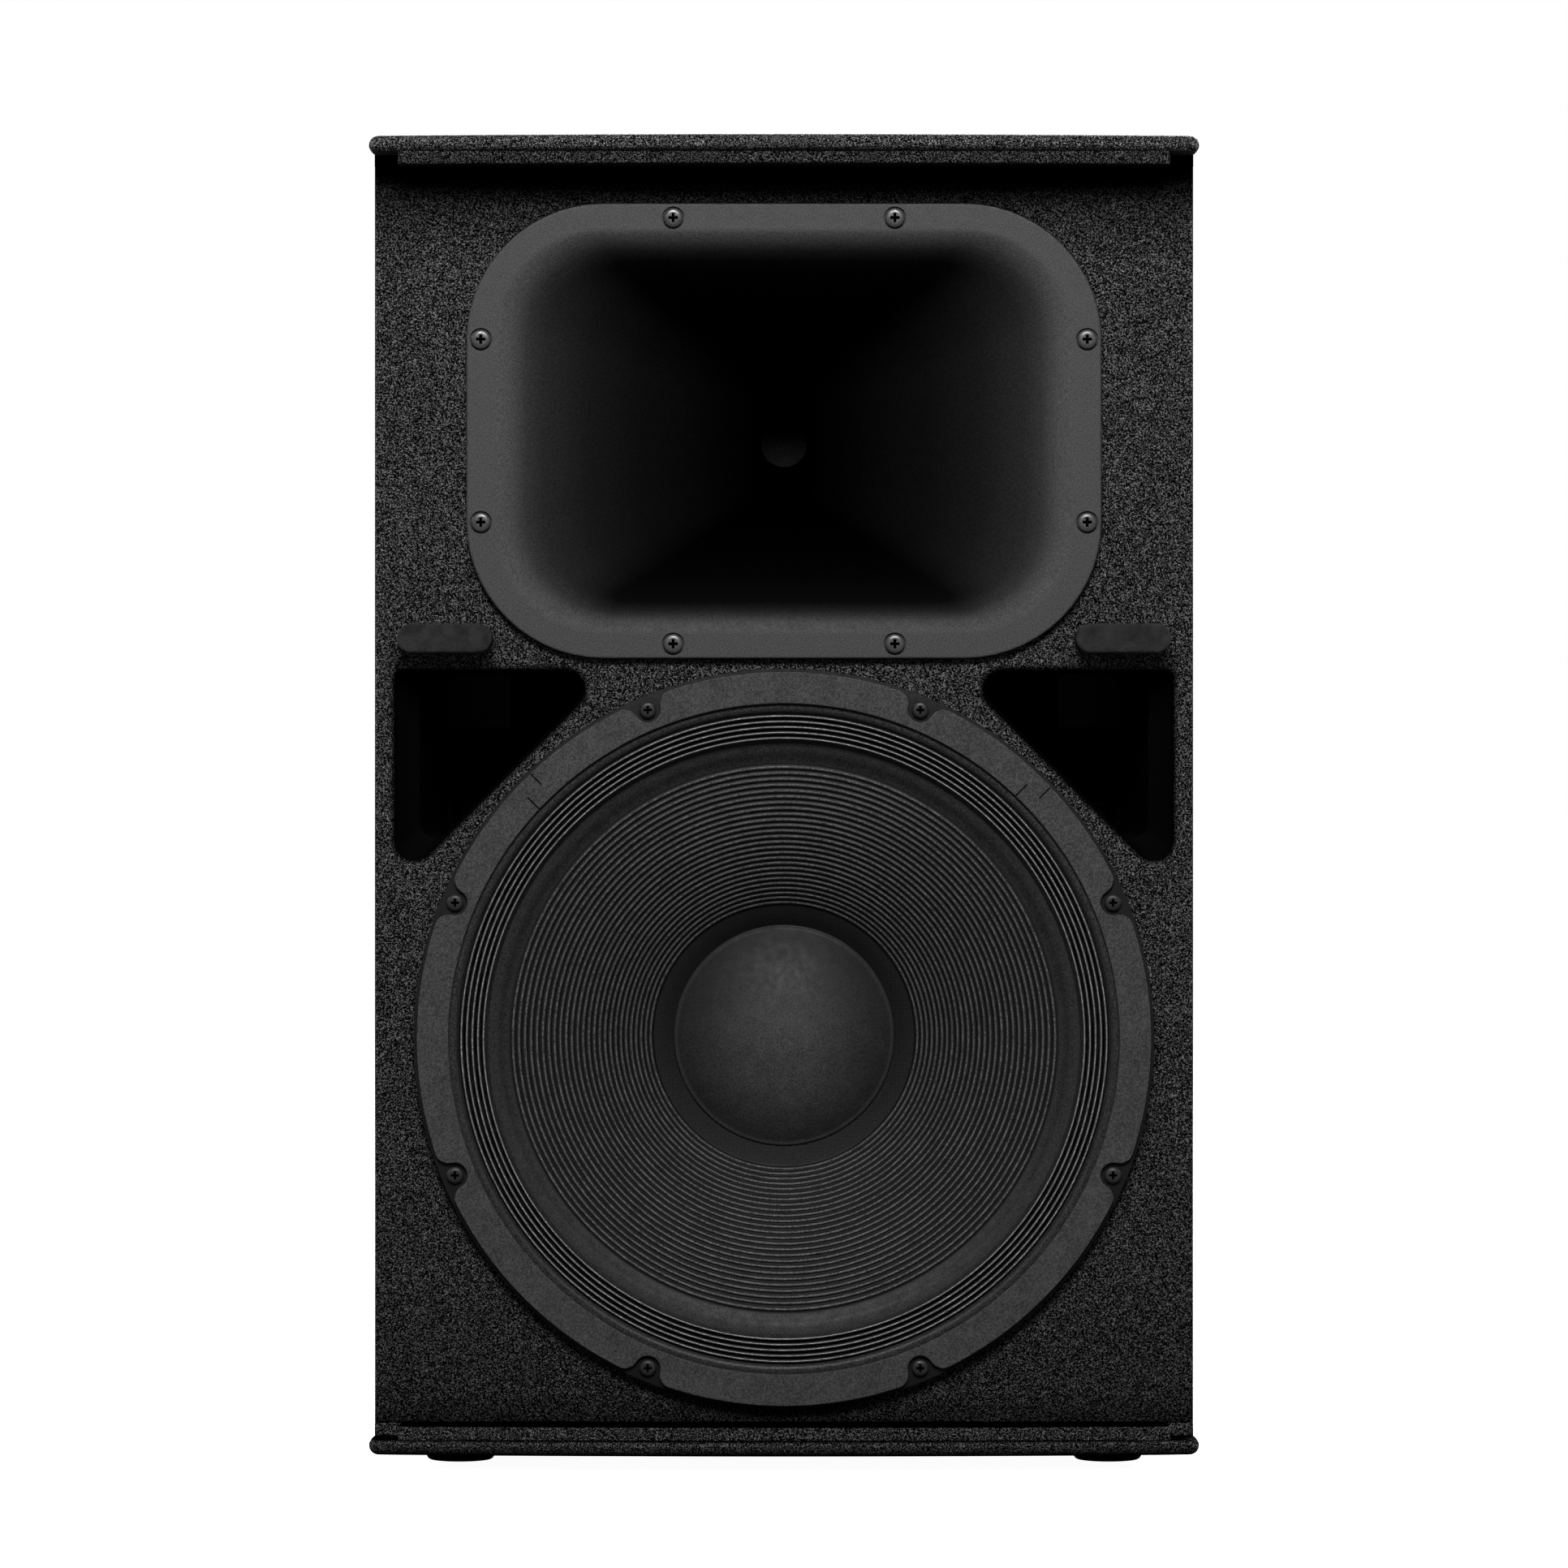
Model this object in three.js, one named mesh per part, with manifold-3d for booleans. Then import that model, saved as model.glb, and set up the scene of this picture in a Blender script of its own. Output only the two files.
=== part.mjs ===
// Passive two-way PA loudspeaker cabinet: a 15-inch woofer, a horn-loaded compression driver and twin
// reflex ports. Millimetres. +Z is up, the front faces -Y, and the origin is on the floor under the
// middle of the cabinet.
import * as THREE from 'three';
import { mergeVertices } from 'three/addons/utils/BufferGeometryUtils.js';
import Module from 'manifold-3d';

const wasm = await Module();
wasm.setup();

// ---------------------------------------------------------------- driving dimensions

const GAP = 0.3; // clearance between pieces that touch

const FOOT_HEIGHT = 8.4;
const FOOT_RADIUS = 18.3;
const FRONT_FOOT = [172.4, -107]; // right-hand foot of each pair, mirrored on the left
const REAR_FOOT = [130, 150];
const CABINET_TOP = 699.2;
const PANEL = 15.2; // top and bottom panels
const LIP = 8.5; // the part of those panels that overhangs the front
const SIDE = 15; // side panels
const BACK = 15;
const BAFFLE = 18;
const FRONT_WIDTH = 431;
const TAPER = Math.tan(THREE.MathUtils.degToRad(8)); // each side leans inwards towards the back
const OVERHANG = 2; // top and bottom panels beyond the sides
const FRONT = -184; // foremost point of the bowed lips
const REAR = 184;
const BOW = 10; // the lips' corners stand this far behind their middle
const STEP_FRONT = -180.5; // the panels' inner layers stand just behind the lips, with a bow of their own
const STEP_BOW = 7;
const STEP_HALF = 202;
const BAFFLE_FRONT = -151;
const BACK_OUTSIDE = 178; // outer face of the recessed back panel
const PANEL_CORNER = 5.5; // rounding of the overhanging layers, in plan
const BRACE = { near: 10, far: 30, low: 326, high: 350 };
const PILOT_RADIUS = 2.5; // screw holes in the baffle

const WOOFER_Z = 225.7;
const WOOFER_RIM = 194.7;
const WOOFER_CUTOUT = 177.5;
const WOOFER_SCREW_CIRCLE = 187.1;
const WOOFER_SCREWS = 8;
const FLANGE_FACE = -6; // front face of the woofer's metal flange, from the baffle's face
const GASKET_FACE = -8.5;
const CONE_EDGE = 157;
const CAP_EDGE = 58.9;
const COIL_RADIUS = 50.4;
const CONE_NECK_DEPTH = 60;
const SHANK_RADIUS = 2.1;
const BASKET_ARMS = 8;
const BASKET_SPLIT = 16; // depth at which the frame's arms leave its rim
const BASKET_WINDOW = THREE.MathUtils.degToRad(23); // angle of each gap between two arms
// Depths behind the baffle's face, front to back.
const MOTOR = {
  spider: 64, seat: 78.5, plate: 84, magnet: 94.3, coilEnd: 100, backPlate: 116.3, rear: 126,
};

const HORN_Z = 545.4;
const HORN_HALF = [167.1, 120]; // half width and half height of the horn's flange
const HORN_CORNER = 72;
const HORN_FACE = -5; // front of the horn's flange, from the baffle's face
const HORN_SCREWS = [[58.3, 112], [159.4, 48.1]]; // one of each four, mirrored both ways
const HORN_DEPTH = 143; // front of the flange to the driver's seat
const THROAT_RADIUS = 12.7;
const HORN_LAND = 13.6; // width of the flange that lies on the baffle
const HORN_BORE_DEPTH = 1.2; // counterbores for the screw heads

const PORT_TOP = 419.1;
const PORT_SIDE = 204.7;
const PORT_LEG = 113.5; // both legs of the right-angled triangle
const PORT_LENGTH = 90;
const PAD = { x: 177.8, z: 436, length: 50.2, height: 15.8, depth: 20 };

const HANDLE = { y: 55, z: 430, length: 168, height: 100, depth: 52, wall: 3 };
const POLE = { y: 20, radius: 18.2, wall: 2.5, depth: 80 };
const INPUT = { z: 170, width: 160, height: 110, thickness: 2, spacing: 64 };
const RIGGING_X = 120;
const RIGGING_Y = 10;
const RIGGING_REAR_Z = 560;
const RIGGING_FLANGE = 15;
const RIGGING_BARREL = 8;
const RIGGING_RECESS = 2.5;

const DAMPING = { z: 520, halfWidth: 108, halfHeight: 115, depth: 30 };
const CROSSOVER = { z: 310, halfWidth: 85, halfHeight: 55, board: 2, coil: 28 };

// ---------------------------------------------------------------- materials

const coat = new THREE.MeshStandardMaterial({ color: 0x17171a, roughness: 0.75, metalness: 0 });
const innerWood = new THREE.MeshStandardMaterial({ color: 0xb08d5f, roughness: 0.8, metalness: 0 });
const hornPlastic = new THREE.MeshStandardMaterial({ color: 0x2c2c2e, roughness: 0.55, metalness: 0 });
const blackPlastic = new THREE.MeshStandardMaterial({ color: 0x151515, roughness: 0.5, metalness: 0 });
const rubber = new THREE.MeshStandardMaterial({ color: 0x0d0d0d, roughness: 0.85, metalness: 0 });
const foam = new THREE.MeshStandardMaterial({ color: 0x202022, roughness: 1, metalness: 0 });
const wadding = new THREE.MeshStandardMaterial({ color: 0xd8d8d2, roughness: 1, metalness: 0 });
const blackMetal = new THREE.MeshStandardMaterial({ color: 0x1b1b1d, roughness: 0.45, metalness: 0.6 });
const castAlloy = new THREE.MeshStandardMaterial({ color: 0x232325, roughness: 0.5, metalness: 0.5 });
const steel = new THREE.MeshStandardMaterial({ color: 0x8c8f94, roughness: 0.35, metalness: 1 });
const ferrite = new THREE.MeshStandardMaterial({ color: 0x2b2b2b, roughness: 0.7, metalness: 0.2 });
const gasketFibre = new THREE.MeshStandardMaterial({ color: 0x242426, roughness: 0.8, metalness: 0 });
const surroundCloth = new THREE.MeshStandardMaterial({ color: 0x1a1a1c, roughness: 0.5, metalness: 0 });
const conePaper = new THREE.MeshStandardMaterial({ color: 0x1d1d1f, roughness: 0.8, metalness: 0 });
const spiderCloth = new THREE.MeshStandardMaterial({ color: 0xb5793a, roughness: 0.9, metalness: 0 });
const coilWire = new THREE.MeshStandardMaterial({ color: 0xb4622c, roughness: 0.35, metalness: 1 });
const titanium = new THREE.MeshStandardMaterial({ color: 0xa9abae, roughness: 0.3, metalness: 1 });
const circuitBoard = new THREE.MeshStandardMaterial({ color: 0x1d4a2c, roughness: 0.5, metalness: 0 });

// ---------------------------------------------------------------- solids

/** Turns a closed geometry into a manifold-3d solid. */
function solid(geometry) {
  const bare = geometry.clone();
  bare.deleteAttribute('normal');
  bare.deleteAttribute('uv');
  const merged = mergeVertices(bare, 1e-4);
  const vertProperties = new Float32Array(merged.attributes.position.array);
  const triVerts = [];
  for (let i = 0; i < merged.index.count; i += 3) {
    const [a, b, c] = [0, 1, 2].map((k) => merged.index.getX(i + k));
    if (a !== b && b !== c && c !== a) triVerts.push(a, b, c);
  }
  const mesh = new wasm.Mesh({ numProp: 3, vertProperties, triVerts: new Uint32Array(triVerts) });
  return new wasm.Manifold(mesh);
}

/** Turns a manifold-3d solid back into a geometry. */
function geometryOf(manifold) {
  const mesh = manifold.getMesh();
  const geometry = new THREE.BufferGeometry();
  geometry.setAttribute('position', new THREE.BufferAttribute(mesh.vertProperties, 3));
  geometry.setIndex(new THREE.BufferAttribute(mesh.triVerts, 1));
  geometry.computeVertexNormals();
  return geometry;
}

function cut(base, ...tools) {
  return geometryOf(tools.reduce((left, tool) => left.subtract(solid(tool)), solid(base)));
}

function join(...pieces) {
  return geometryOf(pieces.map(solid).reduce((sum, piece) => sum.add(piece)));
}

/** A closed outline whose corners [x, y, radius] are rounded by arcs. */
function roundedOutline(corners, steps = 4) {
  const points = [];
  corners.forEach(([x, y, radius], i) => {
    const corner = new THREE.Vector2(x, y);
    if (!radius) {
      points.push(corner);
      return;
    }
    const [px, py] = corners.at(i - 1);
    const [nx, ny] = corners[(i + 1) % corners.length];
    const before = new THREE.Vector2(px, py).sub(corner).normalize();
    const after = new THREE.Vector2(nx, ny).sub(corner).normalize();
    const half = Math.acos(THREE.MathUtils.clamp(before.dot(after), -1, 1)) / 2;
    const centre = before.clone().add(after).setLength(radius / Math.sin(half)).add(corner);
    const first = before.clone().multiplyScalar(radius / Math.tan(half)).add(corner).sub(centre);
    const turn = (Math.PI - 2 * half) * Math.sign(before.cross(after)) * -1;
    for (let k = 0; k <= steps; k += 1) {
      const arm = first.clone().rotateAround(new THREE.Vector2(), (turn * k) / steps);
      points.push(arm.add(centre));
    }
  });
  return points;
}

/** The corners of a rounded rectangle about (x, y). */
function rectangle(x, y, halfWidth, halfHeight, radius = 0) {
  return [
    [x - halfWidth, y - halfHeight, radius],
    [x + halfWidth, y - halfHeight, radius],
    [x + halfWidth, y + halfHeight, radius],
    [x - halfWidth, y + halfHeight, radius],
  ];
}

function circle(x, y, radius, steps) {
  return Array.from({ length: steps }, (_, i) => {
    const angle = (2 * Math.PI * i) / steps;
    return new THREE.Vector2(x + radius * Math.cos(angle), y + radius * Math.sin(angle));
  });
}

/** A plan outline (x, y) raised from low to high. */
function raised(points, low, high, holes = []) {
  const shape = new THREE.Shape(points);
  shape.holes = holes.map((hole) => new THREE.Path(hole));
  const geometry = new THREE.ExtrudeGeometry(shape, { depth: high - low, bevelEnabled: false });
  return geometry.translate(0, 0, low);
}

/** A front-view outline (x, z) run from the near y to the far y. */
function driven(points, near, far, holes = []) {
  return raised(points, -far, -near, holes).rotateX(Math.PI / 2);
}

/** A side-view outline (y, z) run from the low x to the high x. */
function crossed(points, low, high) {
  return raised(points, low, high).rotateX(Math.PI / 2).rotateZ(Math.PI / 2);
}

/** A closed profile of [radius, y] points turned about the Y axis. */
function turned(profile, segments) {
  const area = profile.reduce((sum, [r, y], i) => {
    const [r2, y2] = profile[(i + 1) % profile.length];
    return sum + r * y2 - r2 * y;
  }, 0);
  const loop = area > 0 ? [...profile] : [...profile].reverse();
  const start = Math.max(0, loop.findIndex(([r], i) => r === 0 && loop.at(i - 1)[0] === 0));
  const ordered = [...loop.slice(start), ...loop.slice(0, start)];
  if (ordered[0][0] !== 0) ordered.push(ordered[0]);
  return new THREE.LatheGeometry(ordered.map(([r, y]) => new THREE.Vector2(r, y)), segments);
}

/** A closed profile of [radius, z] points turned about the Z axis. */
function turnedUpright(profile, segments) {
  return turned(profile, segments).rotateX(Math.PI / 2);
}

/** Skins a row of rings, each a list of as many points, and closes the last ring onto the first. */
function loft(rings) {
  const count = rings[0].length;
  const index = [];
  rings.forEach((_, i) => {
    const next = (i + 1) % rings.length;
    for (let k = 0; k < count; k += 1) {
      const k2 = (k + 1) % count;
      const [a, b, c, d] = [i * count + k, i * count + k2, next * count + k2, next * count + k];
      index.push(a, b, c, a, c, d);
    }
  });
  const geometry = new THREE.BufferGeometry().setFromPoints(rings.flat());
  geometry.setIndex(index);
  return geometry;
}

function mesh(name, geometry, material) {
  const piece = new THREE.Mesh(geometry, material);
  piece.name = name;
  return piece;
}

function groupAt(x, y, z, ...pieces) {
  const group = new THREE.Group();
  group.position.set(x, y, z);
  if (pieces.length) group.add(...pieces);
  return group;
}

// ---------------------------------------------------------------- wooden cabinet

/** Half the cabinet's outer width at a depth. */
function halfWidth(y) {
  return FRONT_WIDTH / 2 - TAPER * (y - BAFFLE_FRONT);
}

/** Half the room between the side panels at a depth. */
function halfRoom(y) {
  return halfWidth(y) - SIDE * Math.hypot(1, TAPER);
}

/** Points of a bowed front edge, without its two ends. */
function bowedEdge(half, front, bow, steps = 10) {
  return Array.from({ length: steps - 1 }, (_, i) => {
    const x = half * ((2 * (i + 1)) / steps - 1);
    return [x, front + bow * (x / half) ** 2, 0];
  });
}

/** Plan outline of the overhanging layer: a bowed front, tapered sides and rounded corners. */
function lipOutline() {
  const half = FRONT_WIDTH / 2 + OVERHANG;
  const rearHalf = halfWidth(REAR) + OVERHANG;
  return roundedOutline([
    [-half, FRONT + BOW, PANEL_CORNER],
    ...bowedEdge(half, FRONT, BOW),
    [half, FRONT + BOW, PANEL_CORNER],
    [half, BAFFLE_FRONT, 0],
    [rearHalf, REAR, PANEL_CORNER],
    [-rearHalf, REAR, PANEL_CORNER],
    [-half, BAFFLE_FRONT, 0],
  ], 3);
}

/** Plan outline of the inner layer, just behind the lip and notched at both front corners. */
function stepOutline() {
  const half = FRONT_WIDTH / 2;
  const rearHalf = halfWidth(REAR - 2);
  return roundedOutline([
    [-STEP_HALF, STEP_FRONT + STEP_BOW, 0],
    ...bowedEdge(STEP_HALF, STEP_FRONT, STEP_BOW),
    [STEP_HALF, STEP_FRONT + STEP_BOW, 0],
    [STEP_HALF, BAFFLE_FRONT, 0],
    [half, BAFFLE_FRONT, 0],
    [rearHalf, REAR - 2, 0],
    [-rearHalf, REAR - 2, 0],
    [-half, BAFFLE_FRONT, 0],
    [-STEP_HALF, BAFFLE_FRONT, 0],
  ]);
}

function topPanel() {
  const lip = raised(lipOutline(), CABINET_TOP - LIP, CABINET_TOP);
  const step = raised(stepOutline(), CABINET_TOP - PANEL, CABINET_TOP - LIP + 1);
  const holes = [-RIGGING_X, RIGGING_X].flatMap((x) => [
    raised(circle(x, RIGGING_Y, RIGGING_FLANGE + GAP, 20), CABINET_TOP - RIGGING_RECESS, CABINET_TOP + 1),
    raised(circle(x, RIGGING_Y, RIGGING_BARREL + GAP, 16), CABINET_TOP - PANEL - 1, CABINET_TOP),
  ]);
  return mesh('top_panel', cut(join(lip, step), ...holes), coat);
}

function bottomPanel() {
  const lip = raised(lipOutline(), FOOT_HEIGHT, FOOT_HEIGHT + LIP);
  const step = raised(stepOutline(), FOOT_HEIGHT + LIP - 1, FOOT_HEIGHT + PANEL);
  const poleHole = raised(circle(0, POLE.y, POLE.radius + POLE.wall + GAP, 24), 0, 40);
  return mesh('bottom_panel', cut(join(lip, step), poleHole), coat);
}

/** Place of a handle on one side: its X axis points straight out of the panel. */
function handlePlace(side) {
  const lean = Math.atan(TAPER);
  const turn = side > 0 ? lean : Math.PI - lean;
  const rotation = new THREE.Matrix4().makeRotationZ(turn);
  return rotation.setPosition(side * halfWidth(HANDLE.y), HANDLE.y, HANDLE.z);
}

function sidePanel(name, side) {
  const near = BAFFLE_FRONT + BAFFLE + GAP;
  const far = REAR - 2;
  const outline = [
    [halfWidth(near), near],
    [halfWidth(far), far],
    [halfRoom(far), far],
    [halfRoom(near), near],
  ].map(([x, y]) => new THREE.Vector2(side * x, y));
  const panel = raised(outline, FOOT_HEIGHT + PANEL + GAP, CABINET_TOP - PANEL - GAP);
  const hole = rectangle(0, 0, HANDLE.length / 2 + 0.4, HANDLE.height / 2 + 0.4, 16.4);
  const tool = crossed(roundedOutline(hole), -60, 10).applyMatrix4(handlePlace(side));
  return mesh(name, cut(panel, tool), coat);
}

function backPanel() {
  const near = BACK_OUTSIDE - BACK;
  const outline = [[-1, near], [1, near], [1, BACK_OUTSIDE], [-1, BACK_OUTSIDE]].map(
    ([side, y]) => new THREE.Vector2(side * (halfRoom(y) - GAP), y),
  );
  const panel = raised(outline, FOOT_HEIGHT + PANEL + GAP, CABINET_TOP - PANEL - GAP);
  const rim = 16;
  const hole = rectangle(0, INPUT.z, INPUT.width / 2 - rim, INPUT.height / 2 - rim, 8);
  const rear = BACK_OUTSIDE + 1;
  return mesh('back_panel', cut(
    panel,
    driven(roundedOutline(hole, 2), near - 1, rear),
    driven(circle(0, RIGGING_REAR_Z, RIGGING_FLANGE + GAP, 20), BACK_OUTSIDE - RIGGING_RECESS, rear),
    driven(circle(0, RIGGING_REAR_Z, RIGGING_BARREL + GAP, 16), near - 1, BACK_OUTSIDE),
  ), coat);
}

/** Front outline of one port: a right-angled triangle with rounded corners. */
function portOutline(side, outermost = PORT_SIDE, grow = 0) {
  const corners = [
    [side * outermost, PORT_TOP + grow, 4 + grow],
    [side * (PORT_SIDE - PORT_LEG - 2.4 * grow), PORT_TOP + grow, 10 + grow],
    [side * outermost, PORT_TOP - PORT_LEG + (PORT_SIDE - outermost) - 1.41 * grow, 10 + grow],
  ];
  return roundedOutline(side > 0 ? corners : corners.reverse(), 4);
}

function frontBaffle() {
  const far = BAFFLE_FRONT + BAFFLE;
  const outline = [[-1, BAFFLE_FRONT], [1, BAFFLE_FRONT], [1, far], [-1, far]].map(
    ([side, y]) => new THREE.Vector2(side * halfWidth(y), y),
  );
  const board = raised(outline, FOOT_HEIGHT + PANEL + GAP, CABINET_TOP - PANEL - GAP);
  const [near, beyond] = [BAFFLE_FRONT - 1, far + 1];
  const [hornX, hornZ, hornCorner] = [...HORN_HALF, HORN_CORNER].map((size) => size - HORN_LAND);
  const hornHole = rectangle(0, HORN_Z, hornX, hornZ, hornCorner);
  const screwHoles = [...hornScrewPlaces(), ...wooferScrewPlaces()].map(
    ([x, z, base]) => driven(circle(x, base + z, PILOT_RADIUS, 6), near, beyond),
  );
  return mesh('front_baffle', cut(
    board,
    driven(roundedOutline(hornHole, 8), near, beyond),
    driven(circle(0, WOOFER_Z, WOOFER_CUTOUT, 48), near, beyond),
    driven(portOutline(-1), near, beyond),
    driven(portOutline(1), near, beyond),
    ...screwHoles,
  ), coat);
}

function crossBrace() {
  const { near, far, low, high } = BRACE;
  const outline = [[-1, near], [1, near], [1, far], [-1, far]].map(
    ([side, y]) => new THREE.Vector2(side * (halfRoom(y) - GAP), y),
  );
  return mesh('cross_brace', raised(outline, low, high), innerWood);
}

/** A port's duct: a thin shell behind the baffle that leans with the side panel. */
function portDuct(name, side) {
  const wall = 2.5;
  const near = BAFFLE_FRONT + BAFFLE + GAP;
  const room = halfRoom(near) - GAP;
  const inside = portOutline(side, room - wall);
  const outside = portOutline(side, room, wall);
  const tube = driven(outside, 0, PORT_LENGTH, [inside]);
  const lean = new THREE.Matrix4().makeShear(0, 0, -side * TAPER, 0, 0, 0);
  return mesh(name, tube.applyMatrix4(lean).translate(0, near, 0), blackPlastic);
}

// ---------------------------------------------------------------- cabinet fittings

function foot(name, x, y) {
  const top = FOOT_HEIGHT - GAP;
  const profile = [[0, 0], [16.2, 0], [17.7, 0.9], [FOOT_RADIUS, 3], [FOOT_RADIUS, top], [0, top]];
  const piece = mesh(name, turnedUpright(profile, 18), rubber);
  piece.position.set(x, y, 0);
  return piece;
}

/** A recessed handle: a flange on the panel and a pocket that widens upwards behind the grip edge. */
function handleCup(name, side) {
  const { length, height, depth, wall } = HANDLE;
  const flange = crossed(roundedOutline(rectangle(0, 0, length / 2 + 16, height / 2 + 12, 14)), GAP, 3.3);
  const bowl = crossed(roundedOutline(rectangle(0, 0, length / 2, height / 2, 16)), -depth, 1);
  const pocket = rectangle(0, 0, length / 2 - wall, height / 2 - wall, 13);
  const mouth = rectangle(0, -8.5, length / 2 - 6, height / 2 - wall - 8.5, 13);
  const cup = mesh(name, cut(
    join(flange, bowl),
    crossed(roundedOutline(pocket), wall - depth, -3),
    crossed(roundedOutline(mouth), -10, 10),
  ), blackPlastic);
  cup.applyMatrix4(handlePlace(side));
  return cup;
}

function poleSocket() {
  const { radius, wall, depth } = POLE;
  const low = FOOT_HEIGHT - 2.8;
  const outer = radius + wall;
  const profile = [
    [radius, low], [outer, low], [outer, low + depth + wall], [0, low + depth + wall],
    [0, low + depth], [radius, low + depth],
  ];
  const flange = raised(
    roundedOutline(rectangle(0, 0, 48, 48, 10)), low, FOOT_HEIGHT - GAP, [circle(0, 0, radius + 1, 24)],
  );
  return groupAt(0, POLE.y, 0, mesh('pole_socket', join(turnedUpright(profile, 24), flange), blackPlastic));
}

function inputPlate() {
  const { z, width, height, thickness, spacing } = INPUT;
  const plate = roundedOutline(rectangle(0, 0, width / 2, height / 2, 6));
  const holes = [-spacing / 2, spacing / 2].map((x) => circle(x, 0, 14.5, 16));
  const near = BACK_OUTSIDE + GAP;
  return groupAt(0, 0, z, mesh('input_plate', driven(plate, near, near + thickness, holes), blackMetal));
}

/** A panel socket for a twist-locking speaker plug: flange, barrel and the keyed post inside. */
function speakerSocket(name, x) {
  const face = BACK_OUTSIDE + INPUT.thickness + 2 * GAP;
  const rim = face + 2.5;
  const [outer, bore, post] = [14, 12, 6];
  const outline = roundedOutline(rectangle(0, 0, 15.5, 17, 3));
  const flange = driven(outline, face, rim, [circle(0, 0, outer - 1, 16)]);
  const barrel = turned([
    [bore, rim], [outer, rim], [outer, face - 22], [0, face - 22], [0, face + 1], [post, face + 1],
    [post, face - 18], [bore, face - 18],
  ], 16);
  return groupAt(x, 0, INPUT.z, mesh(name, join(flange, barrel), blackPlastic));
}

/** A flanged threaded insert with its blanking bolt, its flange level with the panel. */
function riggingPoint(name) {
  const profile = [
    [0, -0.5], [RIGGING_FLANGE, -0.5], [RIGGING_FLANGE, -2.2], [RIGGING_BARREL, -2.2],
    [RIGGING_BARREL, -PANEL], [0, -PANEL],
  ];
  return mesh(name, turnedUpright(profile, 16), blackMetal);
}

function riggingPoints() {
  const left = riggingPoint('rigging_point_top_left');
  left.position.set(-RIGGING_X, RIGGING_Y, CABINET_TOP);
  const right = riggingPoint('rigging_point_top_right');
  right.position.set(RIGGING_X, RIGGING_Y, CABINET_TOP);
  const rear = riggingPoint('rigging_point_rear');
  rear.rotation.x = -Math.PI / 2;
  rear.position.set(0, BACK_OUTSIDE, RIGGING_REAR_Z);
  return [left, right, rear];
}

function grillePad(name, side) {
  const outline = roundedOutline(rectangle(0, 0, PAD.length / 2, PAD.height / 2, PAD.height / 2 - 0.01), 5);
  const face = BAFFLE_FRONT - GAP;
  return groupAt(side * PAD.x, 0, PAD.z, mesh(name, driven(outline, face - PAD.depth, face), foam));
}

function dampingPad() {
  const { z, halfWidth: x, halfHeight, depth } = DAMPING;
  const wall = BACK_OUTSIDE - BACK;
  const outline = roundedOutline(rectangle(0, z, x, halfHeight, 12), 2);
  const notch = circle(0, RIGGING_REAR_Z, RIGGING_BARREL + 12, 12);
  return mesh('damping_pad', driven(outline, wall - depth, wall - GAP, [notch]), wadding);
}

/** The crossover's board on the back panel, with its low-pass coil. */
function crossover() {
  const { z, halfWidth: x, halfHeight, board, coil } = CROSSOVER;
  const wall = BACK_OUTSIDE - BACK - GAP;
  const seat = wall - board - GAP;
  const outline = roundedOutline(rectangle(0, z, x, halfHeight, 3), 2);
  const [core, radius] = [12, 30];
  const winding = turned([[core, seat], [radius, seat], [radius, seat - coil], [core, seat - coil]], 24);
  return [
    mesh('crossover_board', driven(outline, wall - board, wall), circuitBoard),
    groupAt(-45, 0, z, mesh('crossover_inductor', winding, coilWire)),
  ];
}

// ---------------------------------------------------------------- horn and compression driver

/** The horn's screws in front view: [x, z about the horn's centre, centre height]. */
function hornScrewPlaces() {
  return [-1, 1].flatMap((sx) => [-1, 1].flatMap(
    (sz) => HORN_SCREWS.map(([x, z]) => [sx * x, sz * z, HORN_Z]),
  ));
}

/** One ring of the horn: a rounded rectangle in front view at a depth behind the flange's face. */
function hornRing(halfX, halfZ, corner, depth) {
  const outline = roundedOutline(rectangle(0, 0, halfX, halfZ, corner), 6);
  return outline.map((p) => new THREE.Vector3(p.x, HORN_FACE + depth, p.y));
}

/** Rings of the flare from just inside the flange to the diffraction slot and on to the round throat. */
function flareRings(wall) {
  const [mouthX, mouthZ, mouthCorner] = [142, 95, 48];
  const [slotX, slotZ, slotDepth] = [14, 32.5, 80];
  const rings = [];
  const steps = 5;
  for (let i = 0; i <= steps; i += 1) {
    const s = 1 - i / steps;
    const depth = slotDepth - (slotDepth - 10) * s;
    const x = slotX + (mouthX - slotX) * (0.7 * s + 0.3 * s * s);
    const z = slotZ + (mouthZ - slotZ) * (0.75 * s + 0.25 * s * s);
    const corner = slotX - 0.5 + (mouthCorner - slotX) * s;
    rings.push(hornRing(x + wall, z + wall, corner + wall, depth + wall / 2));
  }
  return rings;
}

function horn() {
  const [x, z] = HORN_HALF;
  const inset = (by, depth) => hornRing(x - by, z - by, HORN_CORNER - by, depth);
  const throat = THROAT_RADIUS;
  const round = (radius, depth) => hornRing(radius + 0.02, radius + 0.02, radius, depth);
  const seat = HORN_DEPTH;
  const inner = [inset(0, 4.7), inset(0, 1), inset(1, 0), inset(14, 0), inset(18.5, 1.2), inset(22, 4)];
  const outer = flareRings(4).reverse();
  const rings = [
    ...inner,
    ...flareRings(0),
    round(throat, seat - 12),
    round(throat, seat),
    round(44, seat),
    round(44, seat - 7),
    round(18, seat - 8),
    ...outer,
    inset(16, 5.7),
    inset(14.2, 4.7),
  ];
  const holes = hornScrewPlaces().flatMap(([sx, sz]) => [
    driven(circle(sx, sz, 5.95, 10), HORN_FACE - 1, HORN_FACE + HORN_BORE_DEPTH),
    driven(circle(sx, sz, SHANK_RADIUS + 0.5, 6), HORN_FACE, 1),
  ]);
  return mesh('horn', cut(loft(rings), ...holes), hornPlastic);
}

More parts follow.
